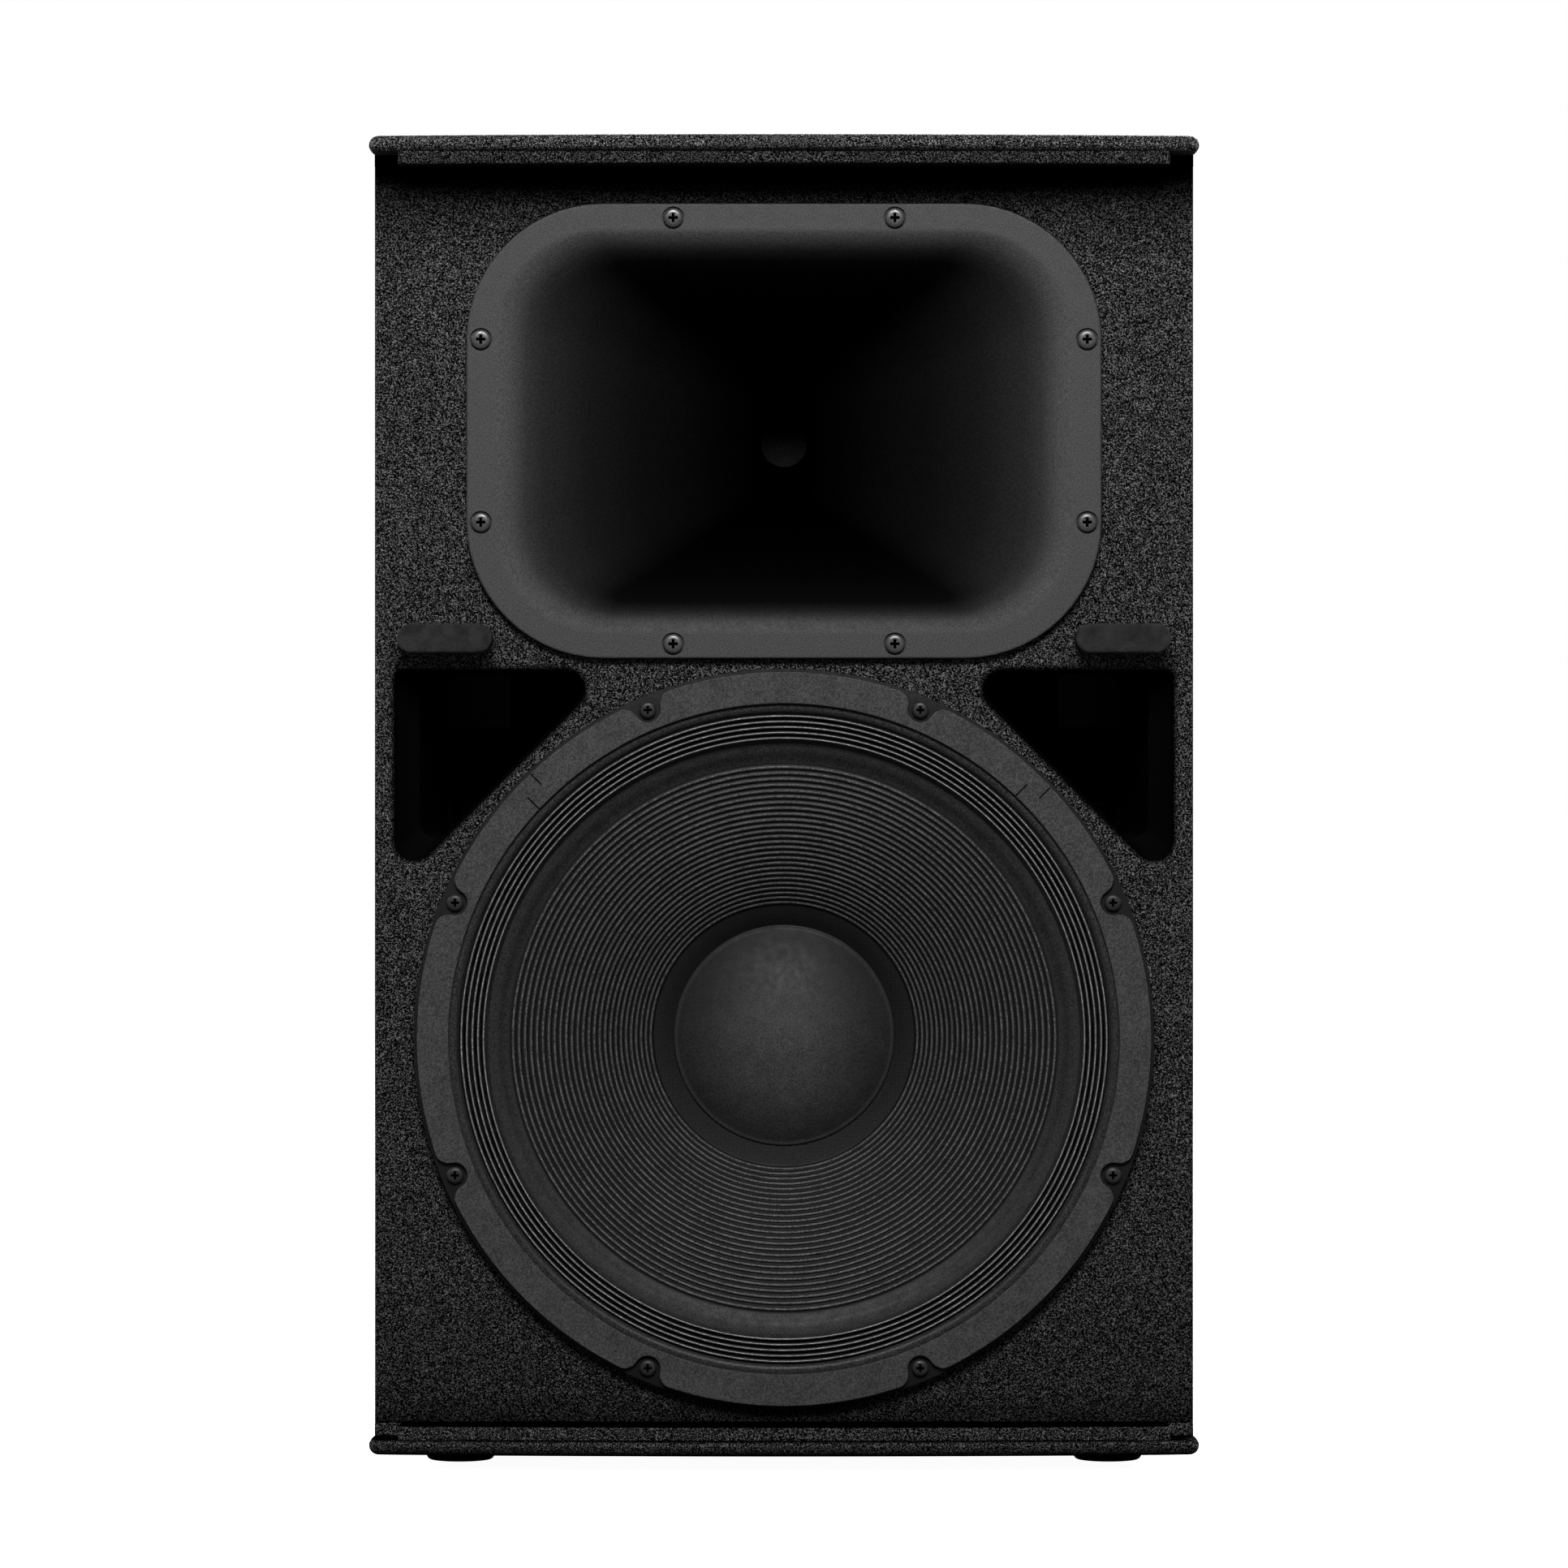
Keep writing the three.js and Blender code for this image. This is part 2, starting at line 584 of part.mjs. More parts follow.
/** A cross-head screw whose head sits on the plane y = 0 and whose shank runs back along +Y. */
function panScrew(name, headRadius, headHeight, length) {
  const profile = [
    [0, -headHeight], [0.6 * headRadius, -headHeight], [headRadius, -0.4 * headHeight], [headRadius, 0],
    [SHANK_RADIUS, 0], [SHANK_RADIUS, length - 2], [0, length],
  ];
  return mesh(name, turned(profile, 8), blackMetal);
}

function hornScrews() {
  return hornScrewPlaces().map(([x, z], i) => {
    const screw = panScrew(`horn_screw_${i + 1}`, 5.15, 2.6, 22);
    screw.position.set(x, HORN_FACE + HORN_BORE_DEPTH - GAP, z);
    return screw;
  });
}

/** The driver bolted to the horn: pole piece with its throat, ring magnet, top plate, dome and cover. */
function compressionDriver() {
  const seat = HORN_FACE + HORN_DEPTH + GAP;
  const part = (name, profile, segments, material) => {
    const shifted = profile.map(([radius, y]) => [radius, seat + y]);
    return mesh(name, turned(shifted, segments), material);
  };
  const throat = THROAT_RADIUS + 0.2;
  const [magnetNear, magnetFar] = [8.3, 22];
  const [plateNear, plateFar] = [22.3, 28.3];
  const [coverNear, coverFar] = [28.6, 49];
  return [
    part('driver_pole_piece', [
      [throat, 0], [44, 0], [50, 2], [50, 8], [21.5, 8], [21.5, 27], [18, 27], [throat, 12],
    ], 24, steel),
    part('driver_magnet', [
      [27, magnetNear], [52, magnetNear], [52, magnetFar], [27, magnetFar],
    ], 24, ferrite),
    part('driver_top_plate', [
      [24.3, plateNear], [50, plateNear], [50, plateFar], [24.3, plateFar],
    ], 24, steel),
    part('driver_cover', [
      [40, coverNear], [49, coverNear], [49, 42], [40, coverFar], [0, coverFar],
      [0, coverFar - 2.5], [39, coverFar - 2.5],
    ], 24, blackPlastic),
    part('driver_diaphragm', [
      [22.2, 20], [23.2, 20], [23.2, 29.4], [27, 29.4], [27, 30], [23, 30.2], [15, 36], [0, 39],
      [0, 38.4], [14.7, 35.4], [22.2, 29.6],
    ], 20, titanium),
  ];
}

// ---------------------------------------------------------------- woofer

/** The woofer's screws in front view: [x, z about the woofer's centre, centre height]. */
function wooferScrewPlaces() {
  return Array.from({ length: WOOFER_SCREWS }, (_, i) => {
    const angle = ((i + 0.5) * 2 * Math.PI) / WOOFER_SCREWS;
    return [WOOFER_SCREW_CIRCLE * Math.cos(angle), WOOFER_SCREW_CIRCLE * Math.sin(angle), WOOFER_Z];
  });
}

/** Depth of the cone's front surface at a radius: a curved cone, steeper towards its neck. */
function coneDepth(radius) {
  const span = CONE_EDGE - CAP_EDGE;
  const u = (CONE_EDGE - radius) / span;
  return span * (0.22 * u + 0.3 * Math.max(u, 0) ** 2.5);
}

/** The frame's rim: the flange on the baffle and the short wall behind it. */
function wooferBasket() {
  const rim = turned([
    [WOOFER_RIM, -GAP], [WOOFER_RIM, FLANGE_FACE], [178, FLANGE_FACE], [178, -3.9], [171, -3.9],
    [168, BASKET_SPLIT], [176.5, BASKET_SPLIT], [176.5, -GAP],
  ], 40);
  const holes = wooferScrewPlaces().map(([x, z]) => driven(circle(x, z, SHANK_RADIUS + 0.5, 6), -10, 5));
  return mesh('woofer_basket', cut(rim, ...holes), castAlloy);
}

/** The frame's arms, which run from the rim back to the spider's ledge and the motor's seat. */
function wooferBasketArms() {
  const start = BASKET_SPLIT + GAP;
  const { seat, plate } = MOTOR;
  const shell = turned([
    [168, start], [107, 63], [92, 66], [91, seat], [56, seat], [56, plate - GAP], [96, plate - GAP],
    [112, 68], [176, start],
  ], 48);
  const [inner, outer] = [110, 185];
  const windows = Array.from({ length: BASKET_ARMS }, (_, i) => {
    const middle = (i * 2 * Math.PI) / BASKET_ARMS;
    const half = BASKET_WINDOW / 2;
    const outline = [[inner, -half], [outer, -half], [outer, half], [inner, half]].map(
      ([r, a]) => new THREE.Vector2(r * Math.cos(middle + a), r * Math.sin(middle + a)),
    );
    return driven(outline, 0, 90);
  });
  return mesh('woofer_basket_arms', cut(shell, ...windows), castAlloy);
}

/** The fibre ring over the flange, with a bay for each screw that opens outwards. */
function wooferGasket() {
  const ring = turned([
    [176.3, GASKET_FACE], [192.9, GASKET_FACE], [192.9, FLANGE_FACE - GAP], [176.3, FLANGE_FACE - GAP],
  ], 52);
  const bays = wooferScrewPlaces().map(([x, z]) => {
    const bay = [[-12, 10, 0], [-7, 5.2, 3], [-5.6, 0, 0], [-4.6, -3.4, 0], [-2.2, -5.6, 0],
      [2.2, -5.6, 0], [4.6, -3.4, 0], [5.6, 0, 0], [7, 5.2, 3], [12, 10, 0]].reverse();
    const outwards = Math.atan2(z, x) - Math.PI / 2;
    const outline = roundedOutline(bay, 2).map(
      (p) => p.rotateAround(new THREE.Vector2(), outwards).add(new THREE.Vector2(x, z)),
    );
    return driven(outline, GASKET_FACE - 1, 0);
  });
  return mesh('woofer_gasket', cut(ring, ...bays), gasketFibre);
}

/** The flexible ring between the basket and the cone. */
function wooferSurround() {
  const inner = CONE_EDGE + 0.4;
  return mesh('woofer_surround', turned([
    [inner, -0.6], [162, -4.5], [167, -5.2], [177.6, FLANGE_FACE + 0.1], [177.6, -4.2], [167, -4],
    [162, -3], [inner, 0.9],
  ], 40), surroundCloth);
}

function wooferCone() {
  const thickness = 1.6;
  const radii = [CONE_EDGE, 142, 122, 102, 82, CAP_EDGE + 3];
  const front = radii.map((r) => [r, coneDepth(r)]);
  const back = [...radii].reverse().map((r) => [r, coneDepth(r) + thickness]);
  const end = CONE_NECK_DEPTH;
  const neck = [[COIL_RADIUS, end - 2], [COIL_RADIUS, end], [COIL_RADIUS + 3.1, end]];
  return mesh('woofer_cone', turned([...front, ...neck, ...back], 40), conePaper);
}

/** A shallow dome glued over the middle of the cone. */
function dustCap() {
  const [edge, rise, skin] = [CAP_EDGE - 0.2, 18, 1.2];
  const rim = coneDepth(CAP_EDGE) - 0.7;
  const shares = [1, 0.8, 0.45, 0];
  const outer = shares.map((share) => [edge * share, rim - rise * (1 - share * share)]);
  const inner = outer.map(([radius, y]) => [radius * (1 - skin / edge), y + skin]).reverse();
  inner[inner.length - 1][1] = rim;
  return mesh('woofer_dust_cap', turned([...outer, ...inner], 28), conePaper);
}

function voiceCoil() {
  const [near, far] = [CONE_NECK_DEPTH + GAP, MOTOR.coilEnd];
  const [inside, outside] = [COIL_RADIUS - 0.8, COIL_RADIUS + 0.8];
  const profile = [[inside, near], [outside, near], [outside, far], [inside, far]];
  return mesh('woofer_voice_coil', turned(profile, 28), coilWire);
}

/** The corrugated centring disc between the coil and the frame. */
function spider() {
  const [thickness, wave] = [1.4, 1.5];
  const front = [[52, 0], [65, -wave], [78, wave], [91.5, 0]].map(([r, y]) => [r, MOTOR.spider + y]);
  const back = [...front].reverse().map(([r, y]) => [r, y + thickness]);
  return mesh('woofer_spider', turned([...front, ...back], 28), spiderCloth);
}

function motor() {
  const { plate, magnet, backPlate, rear } = MOTOR;
  const [gapRadius, poleRadius, vent] = [52.8, 48.8, 15];
  return [
    mesh('woofer_top_plate', turned([
      [gapRadius, plate], [85, plate], [85, magnet - GAP], [gapRadius, magnet - GAP],
    ], 32), steel),
    mesh('woofer_magnet', turned([
      [58, magnet], [95, magnet], [95, backPlate - GAP], [58, backPlate - GAP],
    ], 32), ferrite),
    mesh('woofer_pole_piece', turned([
      [vent, plate], [poleRadius, plate], [poleRadius, backPlate], [85, backPlate], [82, rear],
      [vent + 3, rear], [vent, rear - 6],
    ], 32), steel),
  ];
}

function wooferScrews() {
  return wooferScrewPlaces().map(([x, z], i) => {
    const screw = panScrew(`woofer_screw_${i + 1}`, 4.6, 2.6, 24);
    screw.position.set(x, FLANGE_FACE - GAP, z);
    return screw;
  });
}

// ---------------------------------------------------------------- assembly

const cabinet = new THREE.Group();
cabinet.add(
  topPanel(),
  bottomPanel(),
  sidePanel('left_side_panel', -1),
  sidePanel('right_side_panel', 1),
  backPanel(),
  frontBaffle(),
  crossBrace(),
  portDuct('left_port_duct', -1),
  portDuct('right_port_duct', 1),
  foot('foot_front_left', -FRONT_FOOT[0], FRONT_FOOT[1]),
  foot('foot_front_right', ...FRONT_FOOT),
  foot('foot_rear_left', -REAR_FOOT[0], REAR_FOOT[1]),
  foot('foot_rear_right', ...REAR_FOOT),
  handleCup('left_handle_cup', -1),
  handleCup('right_handle_cup', 1),
  poleSocket(),
  inputPlate(),
  speakerSocket('left_speaker_socket', -INPUT.spacing / 2),
  speakerSocket('right_speaker_socket', INPUT.spacing / 2),
  ...riggingPoints(),
  grillePad('left_grille_pad', -1),
  grillePad('right_grille_pad', 1),
  dampingPad(),
  ...crossover(),
  groupAt(0, BAFFLE_FRONT, HORN_Z, horn(), ...hornScrews(), ...compressionDriver()),
  groupAt(
    0, BAFFLE_FRONT, WOOFER_Z,
    wooferBasket(),
    wooferBasketArms(),
    wooferGasket(),
    wooferSurround(),
    wooferCone(),
    dustCap(),
    voiceCoil(),
    spider(),
    ...motor(),
    ...wooferScrews(),
  ),
);

export default cabinet;
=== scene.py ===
import math

import bmesh
import bpy
from mathutils import Matrix, Vector, noise


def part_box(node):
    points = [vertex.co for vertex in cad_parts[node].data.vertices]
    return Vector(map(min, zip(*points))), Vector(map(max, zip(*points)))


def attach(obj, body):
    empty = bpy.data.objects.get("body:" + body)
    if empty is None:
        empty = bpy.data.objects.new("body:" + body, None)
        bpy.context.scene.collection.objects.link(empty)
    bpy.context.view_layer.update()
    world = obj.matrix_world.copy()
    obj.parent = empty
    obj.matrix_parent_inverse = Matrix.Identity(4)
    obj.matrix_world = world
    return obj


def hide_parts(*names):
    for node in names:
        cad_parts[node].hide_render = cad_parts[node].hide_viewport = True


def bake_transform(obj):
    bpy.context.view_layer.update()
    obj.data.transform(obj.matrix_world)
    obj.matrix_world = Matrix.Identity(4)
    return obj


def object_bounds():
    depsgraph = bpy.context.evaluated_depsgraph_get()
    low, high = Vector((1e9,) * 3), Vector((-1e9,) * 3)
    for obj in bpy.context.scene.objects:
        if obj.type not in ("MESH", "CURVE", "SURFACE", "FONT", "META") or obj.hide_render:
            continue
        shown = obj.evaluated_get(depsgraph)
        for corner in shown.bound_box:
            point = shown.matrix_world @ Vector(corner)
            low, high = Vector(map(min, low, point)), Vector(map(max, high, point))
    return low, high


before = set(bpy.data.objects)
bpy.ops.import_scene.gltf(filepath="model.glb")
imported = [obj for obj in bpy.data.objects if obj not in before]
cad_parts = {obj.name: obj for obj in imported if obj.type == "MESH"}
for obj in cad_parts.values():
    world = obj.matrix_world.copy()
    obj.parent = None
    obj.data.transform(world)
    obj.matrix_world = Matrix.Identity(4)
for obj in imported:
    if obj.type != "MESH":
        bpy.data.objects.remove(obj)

# Lengths below are millimetres, unless metres are named; meshes are written in metres. The front faces -Y.
MM = 0.001
TAU = 2 * math.pi
cad_box = [list(corner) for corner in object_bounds()]


def node_mm(node):
    """Lowest and highest corner of a CAD node, in millimetres."""
    low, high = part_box(node)
    return low / MM, high / MM


def centre_mm(node):
    low, high = node_mm(node)
    return (low + high) / 2


BAFFLE_FRONT = node_mm("front_baffle")[0].y
BAFFLE_BACK = node_mm("front_baffle")[1].y
CABINET_TOP = cad_box[1][2] / MM
FOOT_HEIGHT = node_mm("bottom_panel")[0].z
PANEL = node_mm("top_panel")[1].z - node_mm("top_panel")[0].z
FRONT, REAR = cad_box[0][1] / MM, cad_box[1][1] / MM
HALF_FRONT = node_mm("front_baffle")[1].x
BACK_OUTSIDE = node_mm("back_panel")[1].y
WOOFER_Z = centre_mm("woofer_basket").z
WOOFER_RIM = node_mm("woofer_basket")[1].x
HORN_Z = centre_mm("horn").z
HORN_FACE = node_mm("horn")[0].y
HORN_SEAT = node_mm("horn")[1].y - HORN_FACE
HORN_HALF_X, HORN_HALF_Z = node_mm("horn")[1].x, node_mm("horn")[1].z - HORN_Z
TAPER = math.tan(math.radians(8))
LIP, OVERHANG, BOW = 8.5, 2, 10
STEP_FRONT, STEP_HALF, STEP_BOW = -180.5, 202, 7
SIDE, BACK = 15, 15
COAT_OVERLAP = 0.4
PANEL_LOW, PANEL_HIGH = FOOT_HEIGHT + PANEL - COAT_OVERLAP, CABINET_TOP - PANEL + COAT_OVERLAP
RIGGING_HOLE, POLE_HOLE = 15.3, 21
HANDLE_HALF = (84, 50)


# ---------------------------------------------------------------- camera, light, floor

WHITE = (1, 1, 1, 1)
# Each light's name, place, aim and size in metres, and its power in watts.
LIGHTS = [
    ("key", (0, -2.2, 1.9), (0, -0.15, 0.45), (1.3, 0.75), 118),
    ("front_left", (-2.4, -2.6, 0.9), (0, -0.15, 0.4), (0.9, 1.4), 9),
    ("front_right", (2.4, -2.6, 0.9), (0, -0.15, 0.4), (0.9, 1.4), 9),
    ("left", (-3.0, 0.6, 1.6), (0, 0, 0.4), (1.3, 1.6), 110),
    ("right", (3.0, 0.8, 1.6), (0, 0, 0.4), (1.3, 1.6), 110),
    ("rear", (0.6, 3.2, 2.2), (0, 0, 0.4), (1.6, 1.2), 150),
]


def make_camera():
    """Level camera on the photo's axis: 3.5 m from the baffle, seeing 0.826 m of it from edge to edge."""
    distance, seen, eye = 3.5, 0.8256, 0.3597
    data = bpy.data.cameras.new("camera")
    data.sensor_width = 36
    data.lens = data.sensor_width * distance / seen
    data.clip_end = 100
    camera = bpy.data.objects.new("camera", data)
    bpy.context.scene.collection.objects.link(camera)
    camera.location = (0, BAFFLE_FRONT * MM - distance, eye)
    camera.rotation_euler = (math.radians(90), 0, 0)
    scene = bpy.context.scene
    scene.camera = camera
    scene.view_settings.view_transform = "Standard"
    scene.view_settings.gamma = 0.8


def area_light(name, place, aim, size, power):
    data = bpy.data.lights.new(name, "AREA")
    data.shape = "RECTANGLE"
    data.size, data.size_y = size
    data.energy = power
    light = bpy.data.objects.new(name, data)
    bpy.context.scene.collection.objects.link(light)
    light.location = place
    light.rotation_euler = (Vector(aim) - Vector(place)).to_track_quat("-Z", "Y").to_euler()


def new_node(tree, kind, values=None):
    """Adds a shader node and sets its sockets from a dictionary."""
    node = tree.nodes.new("ShaderNode" + kind)
    for key, value in (values or {}).items():
        node.inputs[key].default_value = value
    return node


def split_by_ray(tree, seen, others, output):
    """Gives one shader to the camera's own rays and another to all other rays."""
    path, mix = new_node(tree, "LightPath"), new_node(tree, "MixShader")
    tree.links.new(path.outputs["Is Camera Ray"], mix.inputs[0])
    tree.links.new(others.outputs[0], mix.inputs[1])
    tree.links.new(seen.outputs[0], mix.inputs[2])
    tree.links.new(mix.outputs[0], output.inputs["Surface"])


def make_floor():
    """A pale floor that runs to the horizon. It glows bright, a little less so by the object, where the
    dimmer glow is painted shade.
    """
    mesh = bpy.data.meshes.new("studio_floor")
    reach = 60
    corners = [(-reach, -reach, 0), (reach, -reach, 0), (reach, reach, 0), (-reach, reach, 0)]
    mesh.from_pydata(corners, [], [(0, 1, 2, 3)])
    floor = bpy.data.objects.new("studio_floor", mesh)
    bpy.context.scene.collection.objects.link(floor)
    material = bpy.data.materials.new("studio_floor")
    material.use_nodes = True
    tree = material.node_tree
    seen = tree.nodes["Principled BSDF"]
    for key, value in (("Base Color", (0.8, 0.8, 0.8, 1)), ("Roughness", 1), ("Specular IOR Level", 0),
                       ("Emission Color", WHITE)):
        seen.inputs[key].default_value = value
    place, length = new_node(tree, "TexCoord"), new_node(tree, "VectorMath")
    length.operation = "LENGTH"
    # Painted shade: the floor's glow is a little weaker close to the object.
    glow = new_node(tree, "MapRange", {"From Min": 0.3, "From Max": 1.4, "To Min": 0.97, "To Max": 1.0})
    tree.links.new(place.outputs["Object"], length.inputs[0])
    tree.links.new(length.outputs["Value"], glow.inputs["Value"])
    tree.links.new(glow.outputs["Result"], seen.inputs["Emission Strength"])
    bounce = new_node(tree, "BsdfDiffuse", {"Color": (0.12, 0.12, 0.12, 1)})
    split_by_ray(tree, seen, bounce, tree.nodes["Material Output"])
    mesh.materials.append(material)


def make_studio():
    """A white room, a soft key light from above in front and weak fill all round."""
    world = bpy.data.worlds.new("studio")
    world.use_nodes = True
    tree = world.node_tree
    tree.nodes.clear()
    seen = new_node(tree, "Background", {"Color": WHITE, "Strength": 1.0})
    fill = new_node(tree, "Background", {"Color": WHITE, "Strength": 0.02})
    split_by_ray(tree, seen, fill, new_node(tree, "OutputWorld"))
    bpy.context.scene.world = world
    make_floor()
    for name, place, aim, size, power in LIGHTS:
        area_light(name, place, aim, size, power)


# ---------------------------------------------------------------- outlines

def rounded(corners, steps=8):
    """A closed outline whose corners (u, v, radius) are rounded by arcs."""
    points = []
    count = len(corners)
    for i, (u, v, radius) in enumerate(corners):
        corner = Vector((u, v))
        if not radius:
            points.append(corner)
            continue
        before = (Vector(corners[i - 1][:2]) - corner).normalized()
        after = (Vector(corners[(i + 1) % count][:2]) - corner).normalized()
        half = before.angle(after) / 2
        centre = corner + (before + after).normalized() * radius / math.sin(half)
        arm = corner + before * radius / math.tan(half) - centre
        turn = (math.pi - 2 * half) * (1 if before.cross(after) < 0 else -1)
        for k in range(steps + 1):
            points.append(centre + Matrix.Rotation(turn * k / steps, 2) @ arm)
    return points


def rectangle(u, v, half_u, half_v, radius=0):
    return [(u - half_u, v - half_v, radius), (u + half_u, v - half_v, radius),
            (u + half_u, v + half_v, radius), (u - half_u, v + half_v, radius)]


def circle(u, v, radius, count, backwards=False):
    turn = -TAU if backwards else TAU
    return [Vector((u + radius * math.cos(turn * i / count), v + radius * math.sin(turn * i / count)))
            for i in range(count)]


def quarter_turn(steps):
    """Angles from 0 to a right angle."""
    return [math.pi / 2 * k / steps for k in range(steps + 1)]


def inset(points, distance):
    """Moves a loop sideways, towards the material on its left."""
    moved = []
    for i, point in enumerate(points):
        before = (point - points[i - 1]).normalized()
        after = (points[(i + 1) % len(points)] - point).normalized()
        left_before, left_after = Vector((-before.y, before.x)), Vector((-after.y, after.x))
        mitre = left_before + left_after
        scale = 2 * distance / max(mitre.length_squared, 0.5)
        moved.append(point + mitre * scale)
    return moved


# ---------------------------------------------------------------- meshes

def finish_mesh(name, mesh, materials, body, sharp):
    mesh.validate()
    for material in materials if isinstance(materials, (list, tuple)) else [materials]:
        mesh.materials.append(material)
    mesh.polygons.foreach_set("use_smooth", [True] * len(mesh.polygons))
    mesh.set_sharp_from_angle(angle=math.radians(sharp))
    thing = bpy.data.objects.new(name, mesh)
    bpy.context.scene.collection.objects.link(thing)
    if body:
        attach(thing, body)
    return thing


def skin(rings, closed_rows=True, closed_columns=True):
    """Quads between neighbouring rings of as many vertices, as index tuples."""
    rows, columns = len(rings), len(rings[0])
    faces = []
    for i in range(rows if closed_rows else rows - 1):
        j = (i + 1) % rows
        for k in range(columns if closed_columns else columns - 1):
            n = (k + 1) % columns
            faces.append((i * columns + k, i * columns + n, j * columns + n, j * columns + k))
    return faces


def tidy_mesh(mesh, distance=1e-6):
    """Welds doubled vertices, drops empty faces and turns every face outwards."""
    work = bmesh.new()
    work.from_mesh(mesh)
    bmesh.ops.remove_doubles(work, verts=work.verts, dist=distance)
    bmesh.ops.dissolve_degenerate(work, edges=work.edges, dist=distance)
    bmesh.ops.recalc_face_normals(work, faces=work.faces)
    work.to_mesh(mesh)
    work.free()


def lathe(name, profile, segments, centre, materials, body="cabinet", upright=False, sharp=32,
          arc=None):
    """A closed profile of (radius, depth) turned about Y, or about Z where upright, or part of a turn."""
    start, span = arc or (0, TAU)
    columns = segments + 1 if arc else segments
    cx, cy, cz = centre
    vertices = []
    for radius, along in profile:
        for k in range(columns):
            angle = start + span * k / segments
            a, b = radius * math.cos(angle), radius * math.sin(angle)
            vertices.append((cx + a, cy + b, cz + along) if upright else (cx + a, cy + along, cz + b))
    rings = [range(columns)] * len(profile)
    faces = skin(rings, True, arc is None)
    if arc:
        faces.append(tuple(i * columns for i in range(len(profile))))
        faces.append(tuple(i * columns + segments for i in reversed(range(len(profile)))))
    mesh = bpy.data.meshes.new(name)
    mesh.from_pydata([Vector(v) * MM for v in vertices], [], faces)
    tidy_mesh(mesh)
    return finish_mesh(name, mesh, materials, body, sharp)


def mark_crests(thing, height_at):
    """Stores how high each vertex stands on its relief, for the material to read; the materials paint shade
    in the valleys and highlights on the crests from it.
    """
    layer = thing.data.attributes.new("crest", "FLOAT", "POINT")
    values = []
    for vertex in thing.data.vertices:
        x, y, z = vertex.co / MM
        values.append(height_at(math.hypot(x, z - WOOFER_Z), y - BAFFLE_FRONT))
    layer.data.foreach_set("value", values)


def loft(name, rings, materials, body="cabinet", sharp=32):
    """A closed skin over rings of points, the last joined to the first."""
    mesh = bpy.data.meshes.new(name)
    mesh.from_pydata([Vector(v) * MM for ring in rings for v in ring], [], skin(rings))
    tidy_mesh(mesh)
    return finish_mesh(name, mesh, materials, body, sharp)


def front_view(u, v, w):
    """Outline in front view (x, z), thickness along y."""
    return u, w, v


def plan_view(u, v, w):
    """Outline in plan (x, y), thickness along z."""
    return u, v, w


def slab(name, outer, holes, low, high, materials, place=plan_view, edge_low=0.0, edge_high=0.0,
         hole_edge_high=None, hole_edge_low=None, body="cabinet", sharp=32):
    """A board with rounded edges between low and high. outer runs anticlockwise and holes clockwise."""
    steps, rim = 5, 0.4

    def levels(round_low, round_high):
        """Steps of (distance inwards, height) round both edges."""
        rows = [(round_low + rim, low) if round_low else (0, low)]
        if round_low:
            rows += [(round_low * (1 - math.sin(a)), low + round_low * (1 - math.cos(a)))
                     for a in quarter_turn(steps)]
        if round_high:
            rows += [(round_high * (1 - math.sin(a)), high - round_high * (1 - math.cos(a)))
                     for a in reversed(quarter_turn(steps))]
        rows.append((round_high + rim, high) if round_high else (0, high))
        return rows

    work = bmesh.new()
    first, last = [], []
    loops = [(outer, edge_low, edge_high)]
    for hole in holes:
        loops.append((hole, edge_low if hole_edge_low is None else hole_edge_low,
                      edge_high if hole_edge_high is None else hole_edge_high))
    for points, round_low, round_high in loops:
        rings = []
        for distance, along in levels(round_low, round_high):
            moved = inset(points, distance) if distance else points
            rings.append([work.verts.new(Vector(place(p.x, p.y, along)) * MM) for p in moved])
        count = len(points)
        for below, above in zip(rings, rings[1:]):
            for k in range(count):
                n = (k + 1) % count
                work.faces.new((below[k], below[n], above[n], above[k]))
        for ring, edges in ((rings[0], first), (rings[-1], last)):
            edges.extend(work.edges.get((ring[k], ring[(k + 1) % count])) for k in range(count))
    for edges in (first, last):
        bmesh.ops.triangle_fill(work, use_beauty=True, use_dissolve=False, edges=edges)
    bmesh.ops.recalc_face_normals(work, faces=work.faces)
    mesh = bpy.data.meshes.new(name)
    work.to_mesh(mesh)
    work.free()
    return finish_mesh(name, mesh, materials, body, sharp)


def cut_away(thing, tools, sharp):
    """Cuts tool objects out of a piece, removes them and keeps edges over an angle sharp."""
    for tool in tools:
        modifier = thing.modifiers.new("cut", "BOOLEAN")
        modifier.operation = "DIFFERENCE"
        modifier.solver = "EXACT"
        modifier.material_mode = "TRANSFER"
        modifier.object = tool
        bpy.context.view_layer.update()
        evaluated = thing.evaluated_get(bpy.context.evaluated_depsgraph_get())
        fresh = bpy.data.meshes.new_from_object(evaluated)
        thing.modifiers.clear()
        old, thing.data = thing.data, fresh
        fresh.name = old.name
        bpy.data.objects.remove(tool)
    thing.data.set_sharp_from_angle(angle=math.radians(sharp))


# ---------------------------------------------------------------- materials

